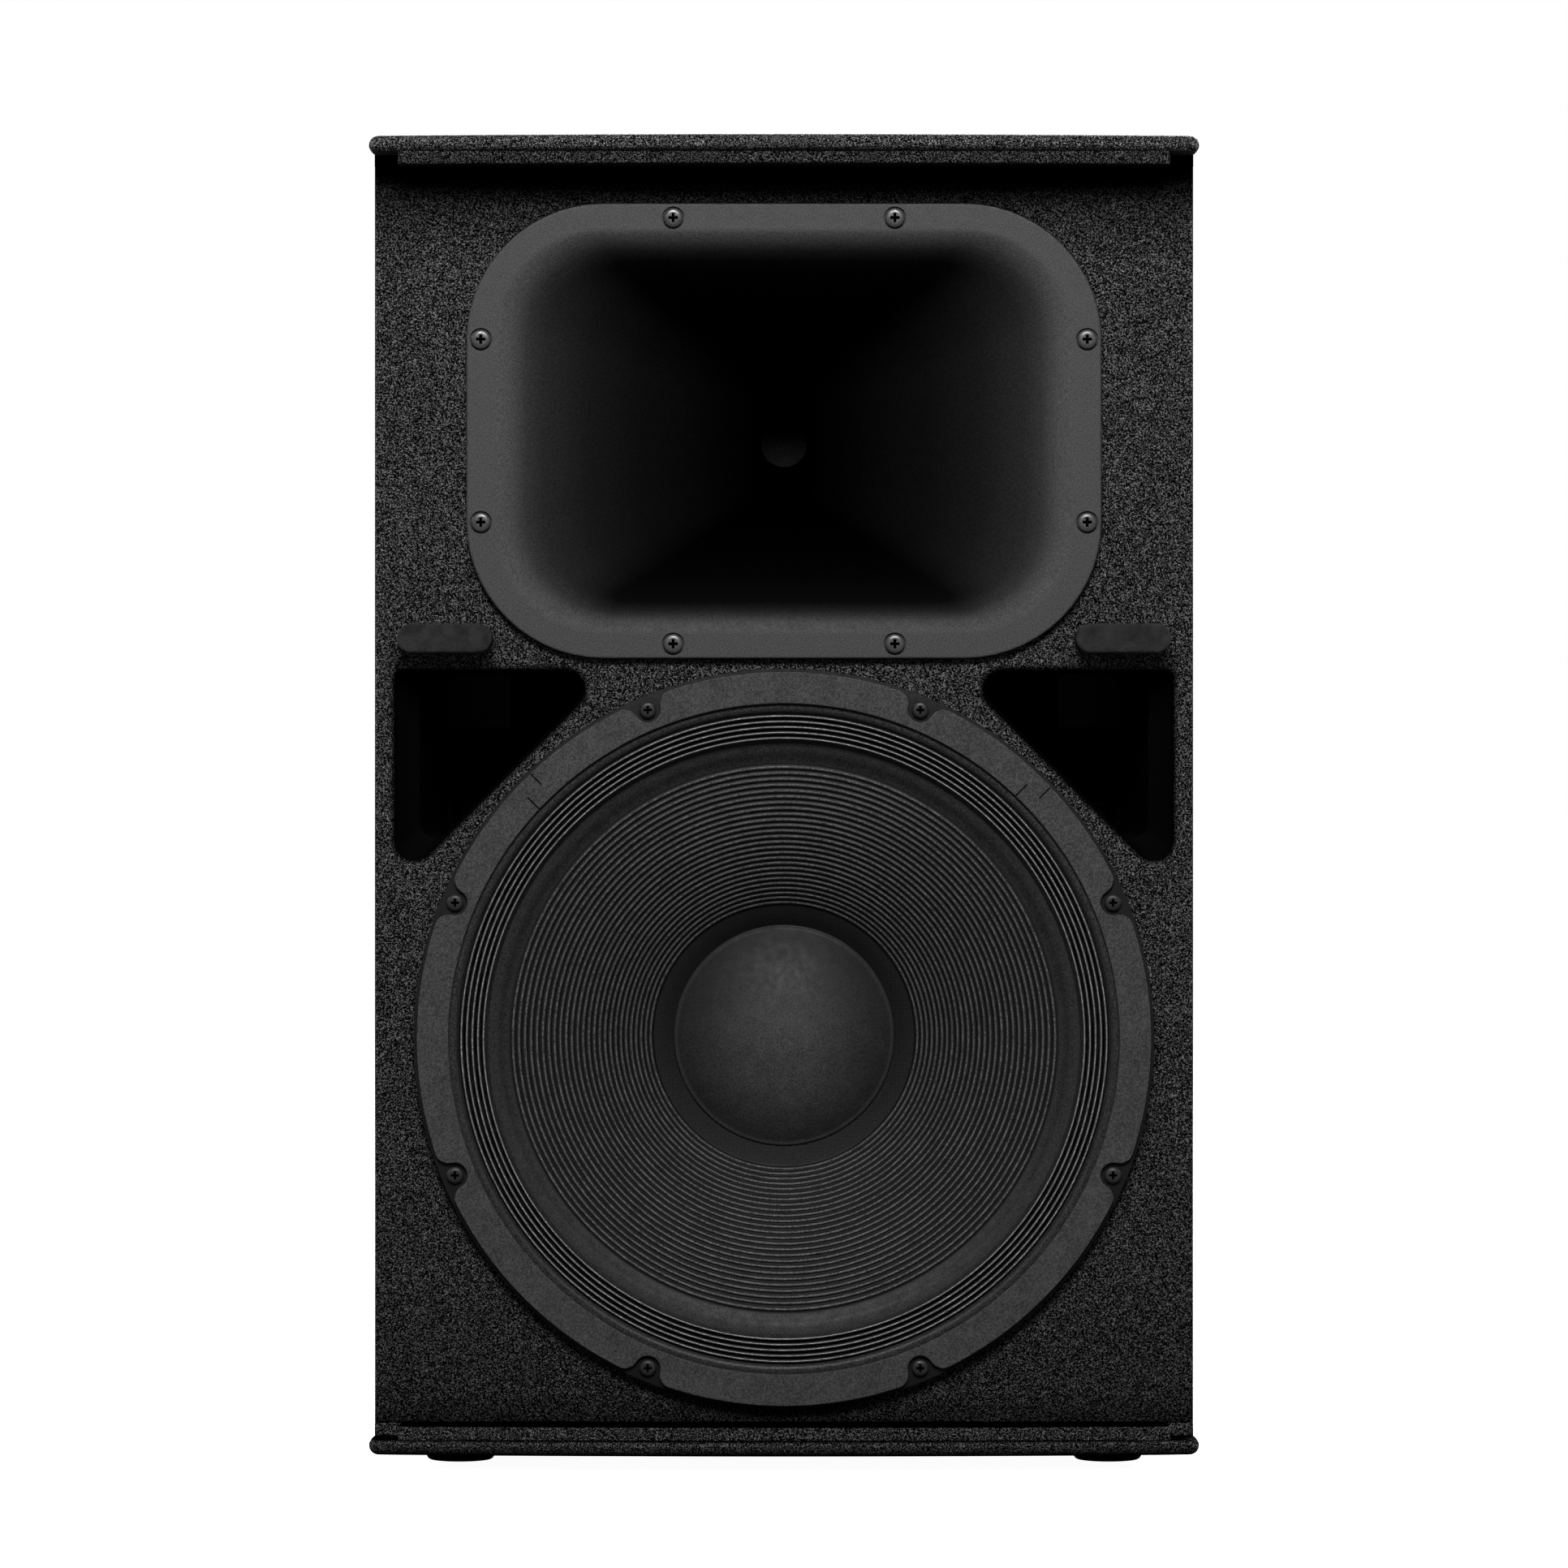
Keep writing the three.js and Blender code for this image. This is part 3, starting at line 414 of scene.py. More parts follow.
class Surface:
    """A Principled material with helpers that add procedural detail in object space."""

    def __init__(self, name, colour, roughness, metallic=0.0, specular=0.5):
        self.material = bpy.data.materials.new(name)
        self.material.use_nodes = True
        self.tree = self.material.node_tree
        self.shader = self.tree.nodes["Principled BSDF"]
        for key, value in (("Base Color", (*colour, 1)), ("Roughness", roughness), ("Metallic", metallic),
                           ("Specular IOR Level", specular)):
            self.shader.inputs[key].default_value = value
        self.colour = colour
        self.coordinates = self.node("TexCoord").outputs["Object"]
        self.normal = None

    def link(self, output, target):
        self.tree.links.new(output, target)

    def node(self, kind, values=None):
        return new_node(self.tree, kind, values)

    def noise(self, size, detail=3.0, rough=0.55, stretch=None):
        """Noise whose features are about size millimetres across."""
        source = self.coordinates
        if stretch:
            mapping = self.node("Mapping", {"Scale": stretch})
            self.link(source, mapping.inputs["Vector"])
            source = mapping.outputs["Vector"]
        node = self.node("TexNoise", {"Scale": 1 / (size * MM), "Detail": detail, "Roughness": rough})
        self.link(source, node.inputs["Vector"])
        return node.outputs["Fac"]

    def cells(self, size, feature="F1"):
        """Distance inside cells about size millimetres across."""
        node = self.node("TexVoronoi", {"Scale": 1 / (size * MM)})
        node.feature = feature
        self.link(self.coordinates, node.inputs["Vector"])
        return node.outputs["Distance"]

    def wave(self, size, axis, distortion=0.0):
        """Bands size millimetres apart; the texture has 20 bands in each TAU of its own units."""
        node = self.node("TexWave", {"Scale": TAU / 20 / (size * MM), "Distortion": distortion})
        node.bands_direction = axis
        self.link(self.coordinates, node.inputs["Vector"])
        return node.outputs["Fac"]

    def math(self, operation, a, b):
        node = self.node("Math")
        node.operation = operation
        for socket, value in zip(node.inputs, (a, b)):
            if isinstance(value, (int, float)):
                socket.default_value = value
            else:
                self.link(value, socket)
        return node.outputs[0]

    def ramp(self, source, stops):
        """Maps 0..1 to values or colours by stops of (position, value)."""
        node = self.node("ValToRGB")
        elements = node.color_ramp.elements
        while len(elements) < len(stops):
            elements.new(0.5)
        for element, (position, value) in zip(elements, stops):
            element.position = position
            element.color = (value, value, value, 1) if isinstance(value, (int, float)) else (*value, 1)
        self.link(source, node.inputs["Fac"])
        return node.outputs["Color"]

    def tint(self, source, dark, light, low=0.3, high=0.7):
        """Base colour runs from dark to light times the piece's own colour."""
        stops = [(low, tuple(c * dark for c in self.colour)), (high, tuple(c * light for c in self.colour))]
        self.link(self.ramp(source, stops), self.shader.inputs["Base Color"])
        return self

    def gloss(self, source, low_value, high_value, low=0.3, high=0.7):
        stops = [(low, low_value), (high, high_value)]
        self.link(self.ramp(source, stops), self.shader.inputs["Roughness"])
        return self

    def split(self, vector):
        node = self.node("SeparateXYZ")
        self.link(vector, node.inputs[0])
        return node.outputs

    def rise(self, value, start, end):
        """Rises from 0 to 1 as a length runs from start to end, in millimetres."""
        node = self.node("MapRange", {"From Min": start * MM, "From Max": end * MM})
        self.link(value, node.inputs["Value"])
        return node.outputs["Result"]

    def along(self, axis, start, end):
        """Rises from 0 to 1 along an axis of the object."""
        return self.rise(self.split(self.coordinates)[axis], start, end)

    def radial(self, x, z, start, end):
        """Rises from 0 to 1 with the distance in front view from (x, z), in millimetres."""
        place = self.split(self.coordinates)
        across = self.math("SUBTRACT", place["X"], x * MM)
        up = self.math("SUBTRACT", place["Z"], z * MM)
        square = self.math("ADD", self.math("MULTIPLY", across, across), self.math("MULTIPLY", up, up))
        return self.rise(self.math("SQRT", square, 0), start, end)

    def crest(self):
        """The relief that a mesh carries as its own attribute: 0 in a valley, 1 on a crest."""
        node = self.node("Attribute")
        node.attribute_name = "crest"
        return node.outputs["Fac"]

    def slope(self):
        """How far a surface faces up or down, from 0 to 1."""
        normal = self.node("TexCoord").outputs["Normal"]
        return self.math("ABSOLUTE", self.split(normal)["Z"], 0)

    def darken(self, factor):
        """Multiplies the base colour by a factor map."""
        target = self.shader.inputs["Base Color"]
        mix = self.node("Mix")
        mix.data_type = "RGBA"
        mix.blend_type = "MULTIPLY"
        mix.inputs["Factor"].default_value = 1
        colours = [socket for socket in mix.inputs if socket.type == "RGBA"]
        if target.is_linked:
            self.link(target.links[0].from_socket, colours[0])
        else:
            colours[0].default_value = target.default_value
        self.link(factor, colours[1])
        self.link([socket for socket in mix.outputs if socket.type == "RGBA"][0], target)
        return self

    def bump(self, source, height):
        """Adds relief of about height millimetres, on top of any added before."""
        node = self.node("Bump", {"Strength": 1.0, "Distance": height * MM})
        self.link(source, node.inputs["Height"])
        if self.normal is not None:
            self.link(self.normal, node.inputs["Normal"])
        self.normal = node.outputs["Normal"]
        self.link(self.normal, self.shader.inputs["Normal"])
        return self

    def shine(self, level):
        self.link(level, self.shader.inputs["Specular IOR Level"])


def coat_surface(name="coat", painted_hole_shade=False, painted_shelf_shade=False, painted_brightness=1.0, shade=()):
    """Sprayed texture paint: hard grains under a millimetre across that catch the light. Copies are painted
    lighter or darker as a whole, and can carry painted shade along axes, on shelves and on the walls of cut
    holes.
    """
    # Painted light and shade: the base colour is the brightness scale, so each copy is painted lighter or
    # darker as a whole.
    s = Surface(name, (painted_brightness, painted_brightness, 1.02 * painted_brightness), 0.5, specular=0.4)
    grain = s.noise(0.76, 1.0, 0.5)
    fine = s.noise(0.5, 2.0, 0.5)
    grains = [(0.36, 0.0001), (0.42, 0.0018), (0.5, 0.0108), (0.58, 0.031), (0.66, 0.066), (0.76, 0.125)]
    s.darken(s.ramp(grain, grains))
    uneven = s.noise(3.4, 1.0, 0.5)
    s.darken(s.ramp(uneven, [(0.35, 0.8), (0.65, 1.18)]))
    s.gloss(fine, 0.42, 0.75)
    # Painted shade: each shade ramp darkens colour and gloss along an axis of the object.
    painted_shades = [s.ramp(s.along(axis, start, end), stops) for axis, start, end, stops in shade]
    # Painted shade on faces that look up or down.
    if painted_shelf_shade:
        painted_shades.append(s.ramp(s.slope(), [(0.5, 1.0), (0.9, 0.02)]))
    # Painted shade on the walls of holes cut through the face, kept off beyond the side edges.
    if painted_hole_shade:
        inside = s.ramp(s.along("Y", BAFFLE_FRONT, BAFFLE_FRONT + 5),
                        [(0.05, 1.0), (0.5, 0.12), (1.0, 0.02)])
        outermost = s.math("MAXIMUM", s.along("X", 207, 212), s.along("X", -207, -212))
        painted_shades.append(s.math("MAXIMUM", inside, outermost))
    shine = s.ramp(grain, [(0.42, 0.02), (0.66, 1.0)])
    # Every painted shade darkens both the colour and the gloss.
    for dull in painted_shades:
        s.darken(dull)
        shine = s.math("MULTIPLY", shine, dull)
    s.shine(shine)
    s.bump(grain, 0.8).bump(fine, 0.3).bump(uneven, 0.5)
    return s.material


def moulded_surface(name, colour, roughness, grain_size, grain_height, specular=0.5):
    """Moulded plastic with a fine grain and slight unevenness in gloss."""
    s = Surface(name, colour, roughness, specular=specular)
    grain = s.noise(grain_size, 2.0, 0.5)
    broad = s.noise(38, 3.0, 0.5)
    s.tint(broad, 0.93, 1.07)
    s.gloss(s.noise(5, 3.0, 0.6), roughness - 0.05, roughness + 0.06)
    s.bump(grain, grain_height)
    return s.material


def horn_surface():
    s = Surface("horn_plastic", (0.045, 0.045, 0.046), 0.62, specular=0.3)
    s.tint(s.noise(0.8, 2.0, 0.6), 0.6, 1.4, 0.32, 0.68)
    s.gloss(s.noise(3.5, 3.0, 0.6), 0.56, 0.68)
    # Painted shade: darker the deeper into the flare, and darker on walls that face up or down; the gloss
    # fades with the same painted shade.
    inwards = s.ramp(s.along("Y", HORN_FACE, HORN_FACE + 80), [
        (0.0, 1.0), (0.015, 0.95), (0.05, 0.55), (0.1, 0.4), (0.25, 0.2), (0.44, 0.1), (0.75, 0.04),
        (1.0, 0.006)])
    steep = s.ramp(s.slope(), [(0.05, 1.0), (0.35, 0.66), (0.62, 0.14)])
    s.darken(inwards).darken(steep)
    s.shine(s.math("MULTIPLY", s.math("MULTIPLY", inwards, steep), 0.3))
    s.bump(s.noise(0.9, 2.0, 0.5), 0.08)
    return s.material


def paper_surface(name, colour, roughness, fibre=2.2, height=0.10, mottle=0.25, speck=0.0):
    """Felted paper pulp: short fibres, cloudy mottling, a dull sheen."""
    s = Surface(name, colour, roughness, specular=0.3)
    cloud = s.noise(11, 5.0, 0.65)
    if speck:
        specks = s.math("MULTIPLY", s.noise(0.8, 2.0, 0.5), speck)
        cloud = s.math("ADD", s.math("MULTIPLY", cloud, 1 - speck), specks)
    s.tint(cloud, 1 - mottle, 1 + mottle, 0.36, 0.64)
    s.gloss(s.noise(4, 4.0, 0.6), roughness - 0.06, roughness + 0.08)
    s.bump(s.noise(fibre, 5.0, 0.7), height)
    return s


def cone_surface():
    s = paper_surface("cone_paper", (0.030, 0.030, 0.031), 0.58, 1.1, 0.09, 0.8, 0.85)
    # Painted shade in the rib valleys and painted highlight on the rib crests.
    s.darken(s.ramp(s.crest(), [(0.0, 0.005), (0.38, 0.1), (0.62, 0.9), (0.92, 2.0)]))
    return s.material


def cap_surface():
    """Painted highlight in the middle of the dome, fading to painted shade at its edge, and painted shade
    towards its top.
    """
    s = paper_surface("cap_paper", (0.043, 0.043, 0.044), 0.6, 2.2, 0.10, 0.5, 0.75)
    s.darken(s.ramp(s.radial(0, WOOFER_Z - 16, 0, 76), [(0.1, 1.0), (0.25, 0.95), (0.6, 0.5), (0.95, 0.24)]))
    s.darken(s.ramp(s.along("Z", WOOFER_Z + 5, WOOFER_Z + 48), [(0.0, 0.95), (1.0, 0.58)]))
    return s.material


def cloth_surface(name, colour, roughness, pitch, height, specular=0.35, crests=False):
    """Doped woven cloth: crossed threads in front view."""
    s = Surface(name, colour, roughness, specular=specular)
    weave = s.math("MULTIPLY", s.wave(pitch, "X", 0.6), s.wave(pitch, "Z", 0.6))
    if crests:
        s.tint(s.noise(0.62, 1.0, 0.5), 0.35, 1.7, 0.36, 0.68)
    else:
        s.tint(s.math("ADD", weave, s.noise(0.9, 3.0, 0.6)), 0.4, 1.7, 0.35, 1.1)
    s.gloss(s.noise(1.6, 3.0, 0.6), roughness - 0.1, roughness + 0.1)
    if crests:
        # Painted shade in the valleys between the rolls and painted highlight on their crests, in colour and
        # in gloss.
        painted_roll_light = s.ramp(s.crest(), [(0.1, 0.02), (0.5, 0.35), (0.75, 0.9), (0.97, 3.4)])
        s.darken(painted_roll_light)
        s.shine(s.math("MULTIPLY", painted_roll_light, specular))
    s.bump(weave, height).bump(s.noise(0.7, 3.0, 0.6), height)
    return s.material


def board_surface():
    """Green lacquered board with pale copper tracks."""
    s = Surface("circuit_board", (0.02, 0.11, 0.045), 0.35)
    tracks = s.cells(9, "DISTANCE_TO_EDGE")
    copper = (0.35, 0.34, 0.30)
    colours = s.ramp(tracks, [(0.0, copper), (0.05, copper), (0.07, s.colour)])
    s.link(colours, s.shader.inputs["Base Color"])
    s.gloss(s.noise(4, 3.0, 0.6), 0.28, 0.5)
    return s.bump(tracks, 0.1).material


def foam_surface():
    s = Surface("pad_foam", (0.025, 0.025, 0.026), 0.95, specular=0.12)
    s.tint(s.noise(7, 4.0, 0.6), 0.72, 1.35, 0.35, 0.65)
    return s.bump(s.cells(0.9), 0.25).bump(s.noise(3.0, 3.0, 0.6), 0.2).material


def metal_surface(name, colour, roughness, metallic, grain=0.4, height=0.03, specular=0.5):
    s = Surface(name, colour, roughness, metallic, specular)
    s.tint(s.noise(14, 4.0, 0.6), 0.85, 1.15)
    s.gloss(s.noise(2.5, 4.0, 0.6), roughness - 0.08, roughness + 0.1)
    return s.bump(s.noise(grain, 3.0, 0.6), height).material


def rubber_surface(name, colour, roughness=0.75):
    s = Surface(name, colour, roughness, specular=0.3)
    s.tint(s.noise(9, 4.0, 0.6), 0.8, 1.25)
    s.gloss(s.noise(2.0, 3.0, 0.6), roughness - 0.08, roughness + 0.1)
    return s.bump(s.noise(0.5, 3.0, 0.6), 0.05).material


def wound_surface():
    """Enamelled wire wound in layers."""
    s = Surface("copper_wire", (0.55, 0.22, 0.09), 0.3, 0.9)
    s.tint(s.noise(6, 3.0, 0.6), 0.8, 1.2)
    return s.bump(s.wave(1.1, "Y"), 0.4).material


def ply_surface():
    """Bare birch ply with fine grain."""
    s = Surface("inner_wood", (0.42, 0.28, 0.15), 0.6)
    s.tint(s.noise(2.2, 5.0, 0.6, stretch=(0.06, 1, 1)), 0.75, 1.2)
    return s.bump(s.noise(1.2, 4.0, 0.6, stretch=(0.06, 1, 1)), 0.08).material


def wadding_surface():
    """Bonded polyester fibre: pale, matt and hairy."""
    s = Surface("wadding", (0.62, 0.62, 0.58), 1.0, specular=0.1)
    s.tint(s.noise(2.5, 6.0, 0.75, stretch=(1, 1, 0.25)), 0.7, 1.15, 0.35, 0.65)
    return s.bump(s.noise(1.2, 6.0, 0.8, stretch=(1, 1, 0.3)), 0.8).bump(s.noise(14, 3.0, 0.6), 1.5).material


# COAT is the plain coat. The others are lit and shaded copies of it. The baffle's copy is painted a little
# darker, darker towards its bottom, with a painted shadow under the top lip and painted shade on its hole
# walls. The shelf and step copies are painted darker, with painted shade on faces that look up or down. The
# top step's copy is painted much darker, with painted shade on its set-back faces. The lip's copy is painted
# lighter.
COAT = coat_surface()
BAFFLE_COAT = coat_surface("coat_baffle", painted_hole_shade=True, painted_brightness=0.95, shade=[
    ("Z", 24, 330, [(0.0, 0.34), (0.05, 0.66), (0.3, 0.84), (1.0, 1.0)]),
    ("Z", 684, 600, [(0.0, 0.005), (0.07, 0.04), (0.16, 0.26), (0.35, 0.65), (0.6, 1.0)])])
SHELF_COAT = coat_surface("coat_shelf", painted_shelf_shade=True, painted_brightness=0.58)
STEP_COAT = coat_surface("coat_step", painted_shelf_shade=True, painted_brightness=0.8)
TOP_STEP_COAT = coat_surface("coat_top_step", painted_brightness=0.43, shade=[
    ("Y", -170, -155, [(0.0, 1.0), (1.0, 0.03)])])
LIP_COAT = coat_surface("coat_lip", painted_brightness=1.6)
HORN = horn_surface()
# Black plastic painted darker than the plastic itself: painted shade inside the ports.
PORT = moulded_surface("port_plastic", (0.0015, 0.0015, 0.0015), 0.8, 1.2, 0.15, specular=0.03)
HANDLE = moulded_surface("handle_plastic", (0.016, 0.016, 0.017), 0.5, 0.8, 0.06)
SOCKET = moulded_surface("socket_plastic", (0.013, 0.013, 0.014), 0.38, 0.6, 0.02)
RUBBER = rubber_surface("foot_rubber", (0.012, 0.012, 0.012))
FOAM = foam_surface()
CAST = metal_surface("cast_alloy", (0.013, 0.013, 0.014), 0.6, 0.0, 0.9, 0.05, specular=0.12)
SCREW = metal_surface("screw_metal", (0.075, 0.075, 0.077), 0.36, 0.35, 0.8, 0.02)
DARK_SCREW = metal_surface("dark_screw_metal", (0.028, 0.028, 0.029), 0.45, 0.2, 0.8, 0.02, specular=0.3)
# Near-black: painted shade in the screw drives.
RECESS = metal_surface("screw_recess", (0.001, 0.001, 0.001), 0.8, 0.0, 0.8, 0.02, specular=0.02)
PLATE = metal_surface("plate_metal", (0.020, 0.020, 0.021), 0.45, 0.0, 0.7, 0.03)
STEEL = metal_surface("steel", (0.50, 0.51, 0.53), 0.32, 1.0)
FERRITE = metal_surface("ferrite", (0.05, 0.05, 0.055), 0.7, 0.1, 1.0, 0.06)
TITANIUM = metal_surface("titanium", (0.55, 0.56, 0.58), 0.28, 1.0)
GASKET = paper_surface("gasket_fibre", (0.041, 0.041, 0.042), 0.72, 1.3, 0.12, 0.55, 0.75).material
CONE = cone_surface()
CAP = cap_surface()
WEAVE = cloth_surface("cone_cloth", (0.014, 0.014, 0.015), 0.7, 1.1, 0.12, specular=0.15)
SURROUND = cloth_surface("surround_cloth", (0.068, 0.068, 0.069), 0.42, 0.8, 0.05, 0.5, crests=True)
SPIDER = cloth_surface("spider_cloth", (0.40, 0.22, 0.07), 0.8, 0.9, 0.15)
WIRE = wound_surface()
WOOD = ply_surface()
SCREEN = cloth_surface("throat_cloth", (0.012, 0.012, 0.012), 0.8, 1.2, 0.2, specular=0.1)
WADDING = wadding_surface()
BOARD = board_surface()
CAPACITOR = moulded_surface("capacitor_sleeve", (0.42, 0.10, 0.03), 0.3, 1.5, 0.05)
CERAMIC = moulded_surface("resistor_ceramic", (0.55, 0.54, 0.50), 0.8, 0.8, 0.10)


# ---------------------------------------------------------------- cabinet panels

def half_width(y):
    return HALF_FRONT - TAPER * (y - BAFFLE_FRONT)


def half_room(y):
    return half_width(y) - SIDE * math.hypot(1, TAPER)


def bowed_edge(half, front, bow, steps=48):
    """Points of a bowed front edge, short of its rounded ends."""
    places = [half * (2 * i / steps - 1) for i in range(1, steps)]
    return [(x, front + bow * (x / half) ** 2, 0) for x in places if abs(x) < half - 7]


def lip_outline():
    """Plan of the overhanging layer: bowed front, tapered sides, rounded corners."""
    half, rear_half = HALF_FRONT + OVERHANG, half_width(REAR) + OVERHANG
    bow = bowed_edge(half, FRONT, BOW)
    corners = [(-half, FRONT + BOW, 6.5), *bow, (half, FRONT + BOW, 6.5), (half, BAFFLE_FRONT, 60),
               (rear_half, REAR, 5.5), (-rear_half, REAR, 5.5), (-half, BAFFLE_FRONT, 60)]
    return rounded(corners, 8)


def step_outline():
    """Plan of the inner layer, just behind the lip and notched at both front corners."""
    y1 = REAR - 2
    return rounded([
        (-STEP_HALF, STEP_FRONT + STEP_BOW, 1), *bowed_edge(STEP_HALF, STEP_FRONT, STEP_BOW),
        (STEP_HALF, STEP_FRONT + STEP_BOW, 1), (STEP_HALF, BAFFLE_FRONT, 0),
        (HALF_FRONT, BAFFLE_FRONT, 0), (half_width(y1), y1, 2), (-half_width(y1), y1, 2),
        (-HALF_FRONT, BAFFLE_FRONT, 0), (-STEP_HALF, BAFFLE_FRONT, 0)], 4)


def horizontal_panels():
    """Top and bottom boards: an overhanging lip and the step inside it, each in its own copy of the coat
    with painted light and shade.
    """
    places = [centre_mm(f"rigging_point_top_{side}") for side in ("left", "right")]
    rigs = [circle(place.x, place.y, RIGGING_HOLE, 48, backwards=True) for place in places]
    pole = centre_mm("pole_socket")
    pole_hole = circle(pole.x, pole.y, POLE_HOLE, 48, backwards=True)
    outer, inner = 4.9, 3.3
    top, bottom = CABINET_TOP - LIP, FOOT_HEIGHT + LIP
    boards = [
        slab("top_panel_coated", lip_outline(), rigs, top, CABINET_TOP, LIP_COAT, edge_low=inner,
             edge_high=outer, hole_edge_low=0, hole_edge_high=0.6),
        slab("top_panel_step", step_outline(), [], CABINET_TOP - PANEL, top + 0.5, TOP_STEP_COAT,
             edge_low=0.8),
        slab("bottom_panel_coated", lip_outline(), [pole_hole], FOOT_HEIGHT, bottom, SHELF_COAT,
             edge_low=outer, edge_high=inner, hole_edge_low=0, hole_edge_high=0),
        slab("bottom_panel_step", step_outline(), [pole_hole], bottom - 0.5, FOOT_HEIGHT + PANEL, STEP_COAT,
             edge_high=0.8, hole_edge_high=0)]
    for board, node in zip(boards, ("top_panel", "top_panel", "bottom_panel", "bottom_panel")):
        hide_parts(node)


def handle_matrix(side):
    """Place of a handle: X points straight out of the side panel, Y runs along it."""
    low, high = node_mm("right_handle_cup")
    lean = math.atan(TAPER)
    y, z = 55, (low.z + high.z) / 2
    turn = lean if side > 0 else math.pi - lean
    return Matrix.Translation((side * half_width(y), y, z)) @ Matrix.Rotation(turn, 4, "Z")


def side_panels():
    for name, side in (("left", -1), ("right", 1)):
        turned = handle_matrix(side)

        def along_side(u, v, w, turned=turned):
            return turned @ Vector((w, u, v))

        origin = turned.translation
        ends = sorted(side * (y - origin.y) / math.cos(math.atan(TAPER)) for y in (BAFFLE_BACK, REAR - 2))
        low, high = PANEL_LOW - origin.z, PANEL_HIGH - origin.z
        outer = rounded([(ends[0], low, 0), (ends[1], low, 0), (ends[1], high, 0), (ends[0], high, 0)])
        half_u, half_v = HANDLE_HALF
        hole = list(reversed(rounded(rectangle(0, 0, half_u + 0.4, half_v + 0.4, 16.4), 6)))
        panel = slab(f"{name}_side_panel_coated", outer, [hole], -SIDE, 0, COAT, place=along_side)
        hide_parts(f"{name}_side_panel")


def back_panel():
    plate, rig = centre_mm("input_plate"), centre_mm("rigging_point_rear")
    holes = [list(reversed(rounded(rectangle(0, plate.z, 64, 39, 8), 4))),
             circle(0, rig.z, RIGGING_HOLE, 48, backwards=True)]
    outer = rounded(rectangle(0, (PANEL_LOW + PANEL_HIGH) / 2, half_room(BACK_OUTSIDE) + 0.6,
                              (PANEL_HIGH - PANEL_LOW) / 2))
    panel = slab("back_panel_coated", outer, holes, BACK_OUTSIDE - BACK, BACK_OUTSIDE, COAT,
                 place=front_view, hole_edge_high=0.6)
    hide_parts("back_panel")


PORT_EDGE, PORT_TOP, PORT_LEG = 204.7, 419.1, 113.5


def port_outline(side, grow=0.0, outermost=PORT_EDGE):
    """A port's triangle with its right angle outermost at the top, grown or shrunk."""
    tip = 2.4 * grow
    corners = [(side * (outermost + grow), PORT_TOP + grow, 4 + grow),
               (side * (PORT_EDGE - PORT_LEG - tip), PORT_TOP + grow, 10 + grow),
               (side * (outermost + grow), PORT_TOP - PORT_LEG + PORT_EDGE - outermost - tip, 10 + grow)]
    return clockwise(rounded(corners, 10))


def baffle():
    """The baffle with rounded-over port mouths and softened side edges."""
    outer = rounded(rectangle(0, (PANEL_LOW + PANEL_HIGH) / 2, HALF_FRONT, (PANEL_HIGH - PANEL_LOW) / 2))
    under, woofer_hole = 13.6, 177.5
    horn_hole = rounded(rectangle(0, HORN_Z, HORN_HALF_X - under, HORN_HALF_Z - under,
                                  HORN_CORNER - under), 10)
    holes = [list(reversed(horn_hole)), circle(0, WOOFER_Z, woofer_hole, 96, backwards=True),
             port_outline(-1), port_outline(1)]
    board = slab("front_baffle_coated", outer, holes, BAFFLE_FRONT, BAFFLE_BACK, BAFFLE_COAT,
                 place=front_view, edge_low=1.6, hole_edge_low=4.5)
    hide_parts("front_baffle")


def clockwise(points):
    area = sum(a.x * b.y - b.x * a.y for a, b in zip(points, points[1:] + points[:1]))
    return points if area < 0 else list(reversed(points))


# ---------------------------------------------------------------- horn

HORN_CORNER = 72
SLOT_HALF_X, SLOT_HALF_Z, SLOT_CORNER, SLOT_DEPTH = 14, 32.5, 13.8, 80
THROAT, TUNNEL = 12.7, 51
HORN_WALL = 4
NUDGE = 0.01


def horn_ring(half_x, half_z, corner, depth, arc=14, straight=12):
    """A rounded rectangle in front view, its sides evenly split, at a depth behind the flange's face."""
    points = []
    signs = [(1, -1), (1, 1), (-1, 1), (-1, -1)]
    for i, (sx, sz) in enumerate(signs):
        centre = Vector((sx * (half_x - corner), sz * (half_z - corner)))
        first = (i - 1) * math.pi / 2
        for a in quarter_turn(arc):
            points.append(centre + corner * Vector((math.cos(first + a), math.sin(first + a))))
        nx, nz = signs[(i + 1) % 4]
        a = first + math.pi / 2
        start, centre = points[-1], Vector((nx * (half_x - corner), nz * (half_z - corner)))
        end = centre + corner * Vector((math.cos(a), math.sin(a)))
        points.extend(start.lerp(end, k / straight) for k in range(1, straight))
    return [(p.x, HORN_FACE + depth, HORN_Z + p.y) for p in points]


def flare(depth, wall=0.0):
    """Ring of the flare at a depth: a roll off the flat flange, then curved walls down to the slot."""
    u = 1 - depth / SLOT_DEPTH
    roll_x = 1 - math.sqrt(1 - max(0.0, 1 - depth / 7) ** 2)
    roll_z = 1 - math.sqrt(1 - max(0.0, 1 - depth / 10) ** 2)
    x = SLOT_HALF_X + 128.6 * (0.72 * u + 0.28 * u * u) + 11 * roll_x
    z = SLOT_HALF_Z + 64 * (0.75 * u + 0.25 * u * u) + 10 * roll_z
    corner = SLOT_CORNER + 32 * u + 12.5 * roll_z
    return horn_ring(x + wall, z + wall, corner + wall, depth + 0.6 * wall)


def tunnel(share):
    """Ring between the slot and the round throat."""
    half_x, half_z, corner = (a + (THROAT - a) * share for a in (SLOT_HALF_X, SLOT_HALF_Z, SLOT_CORNER))
    return horn_ring(half_x + NUDGE, half_z + NUDGE, corner, SLOT_DEPTH + TUNNEL * share)


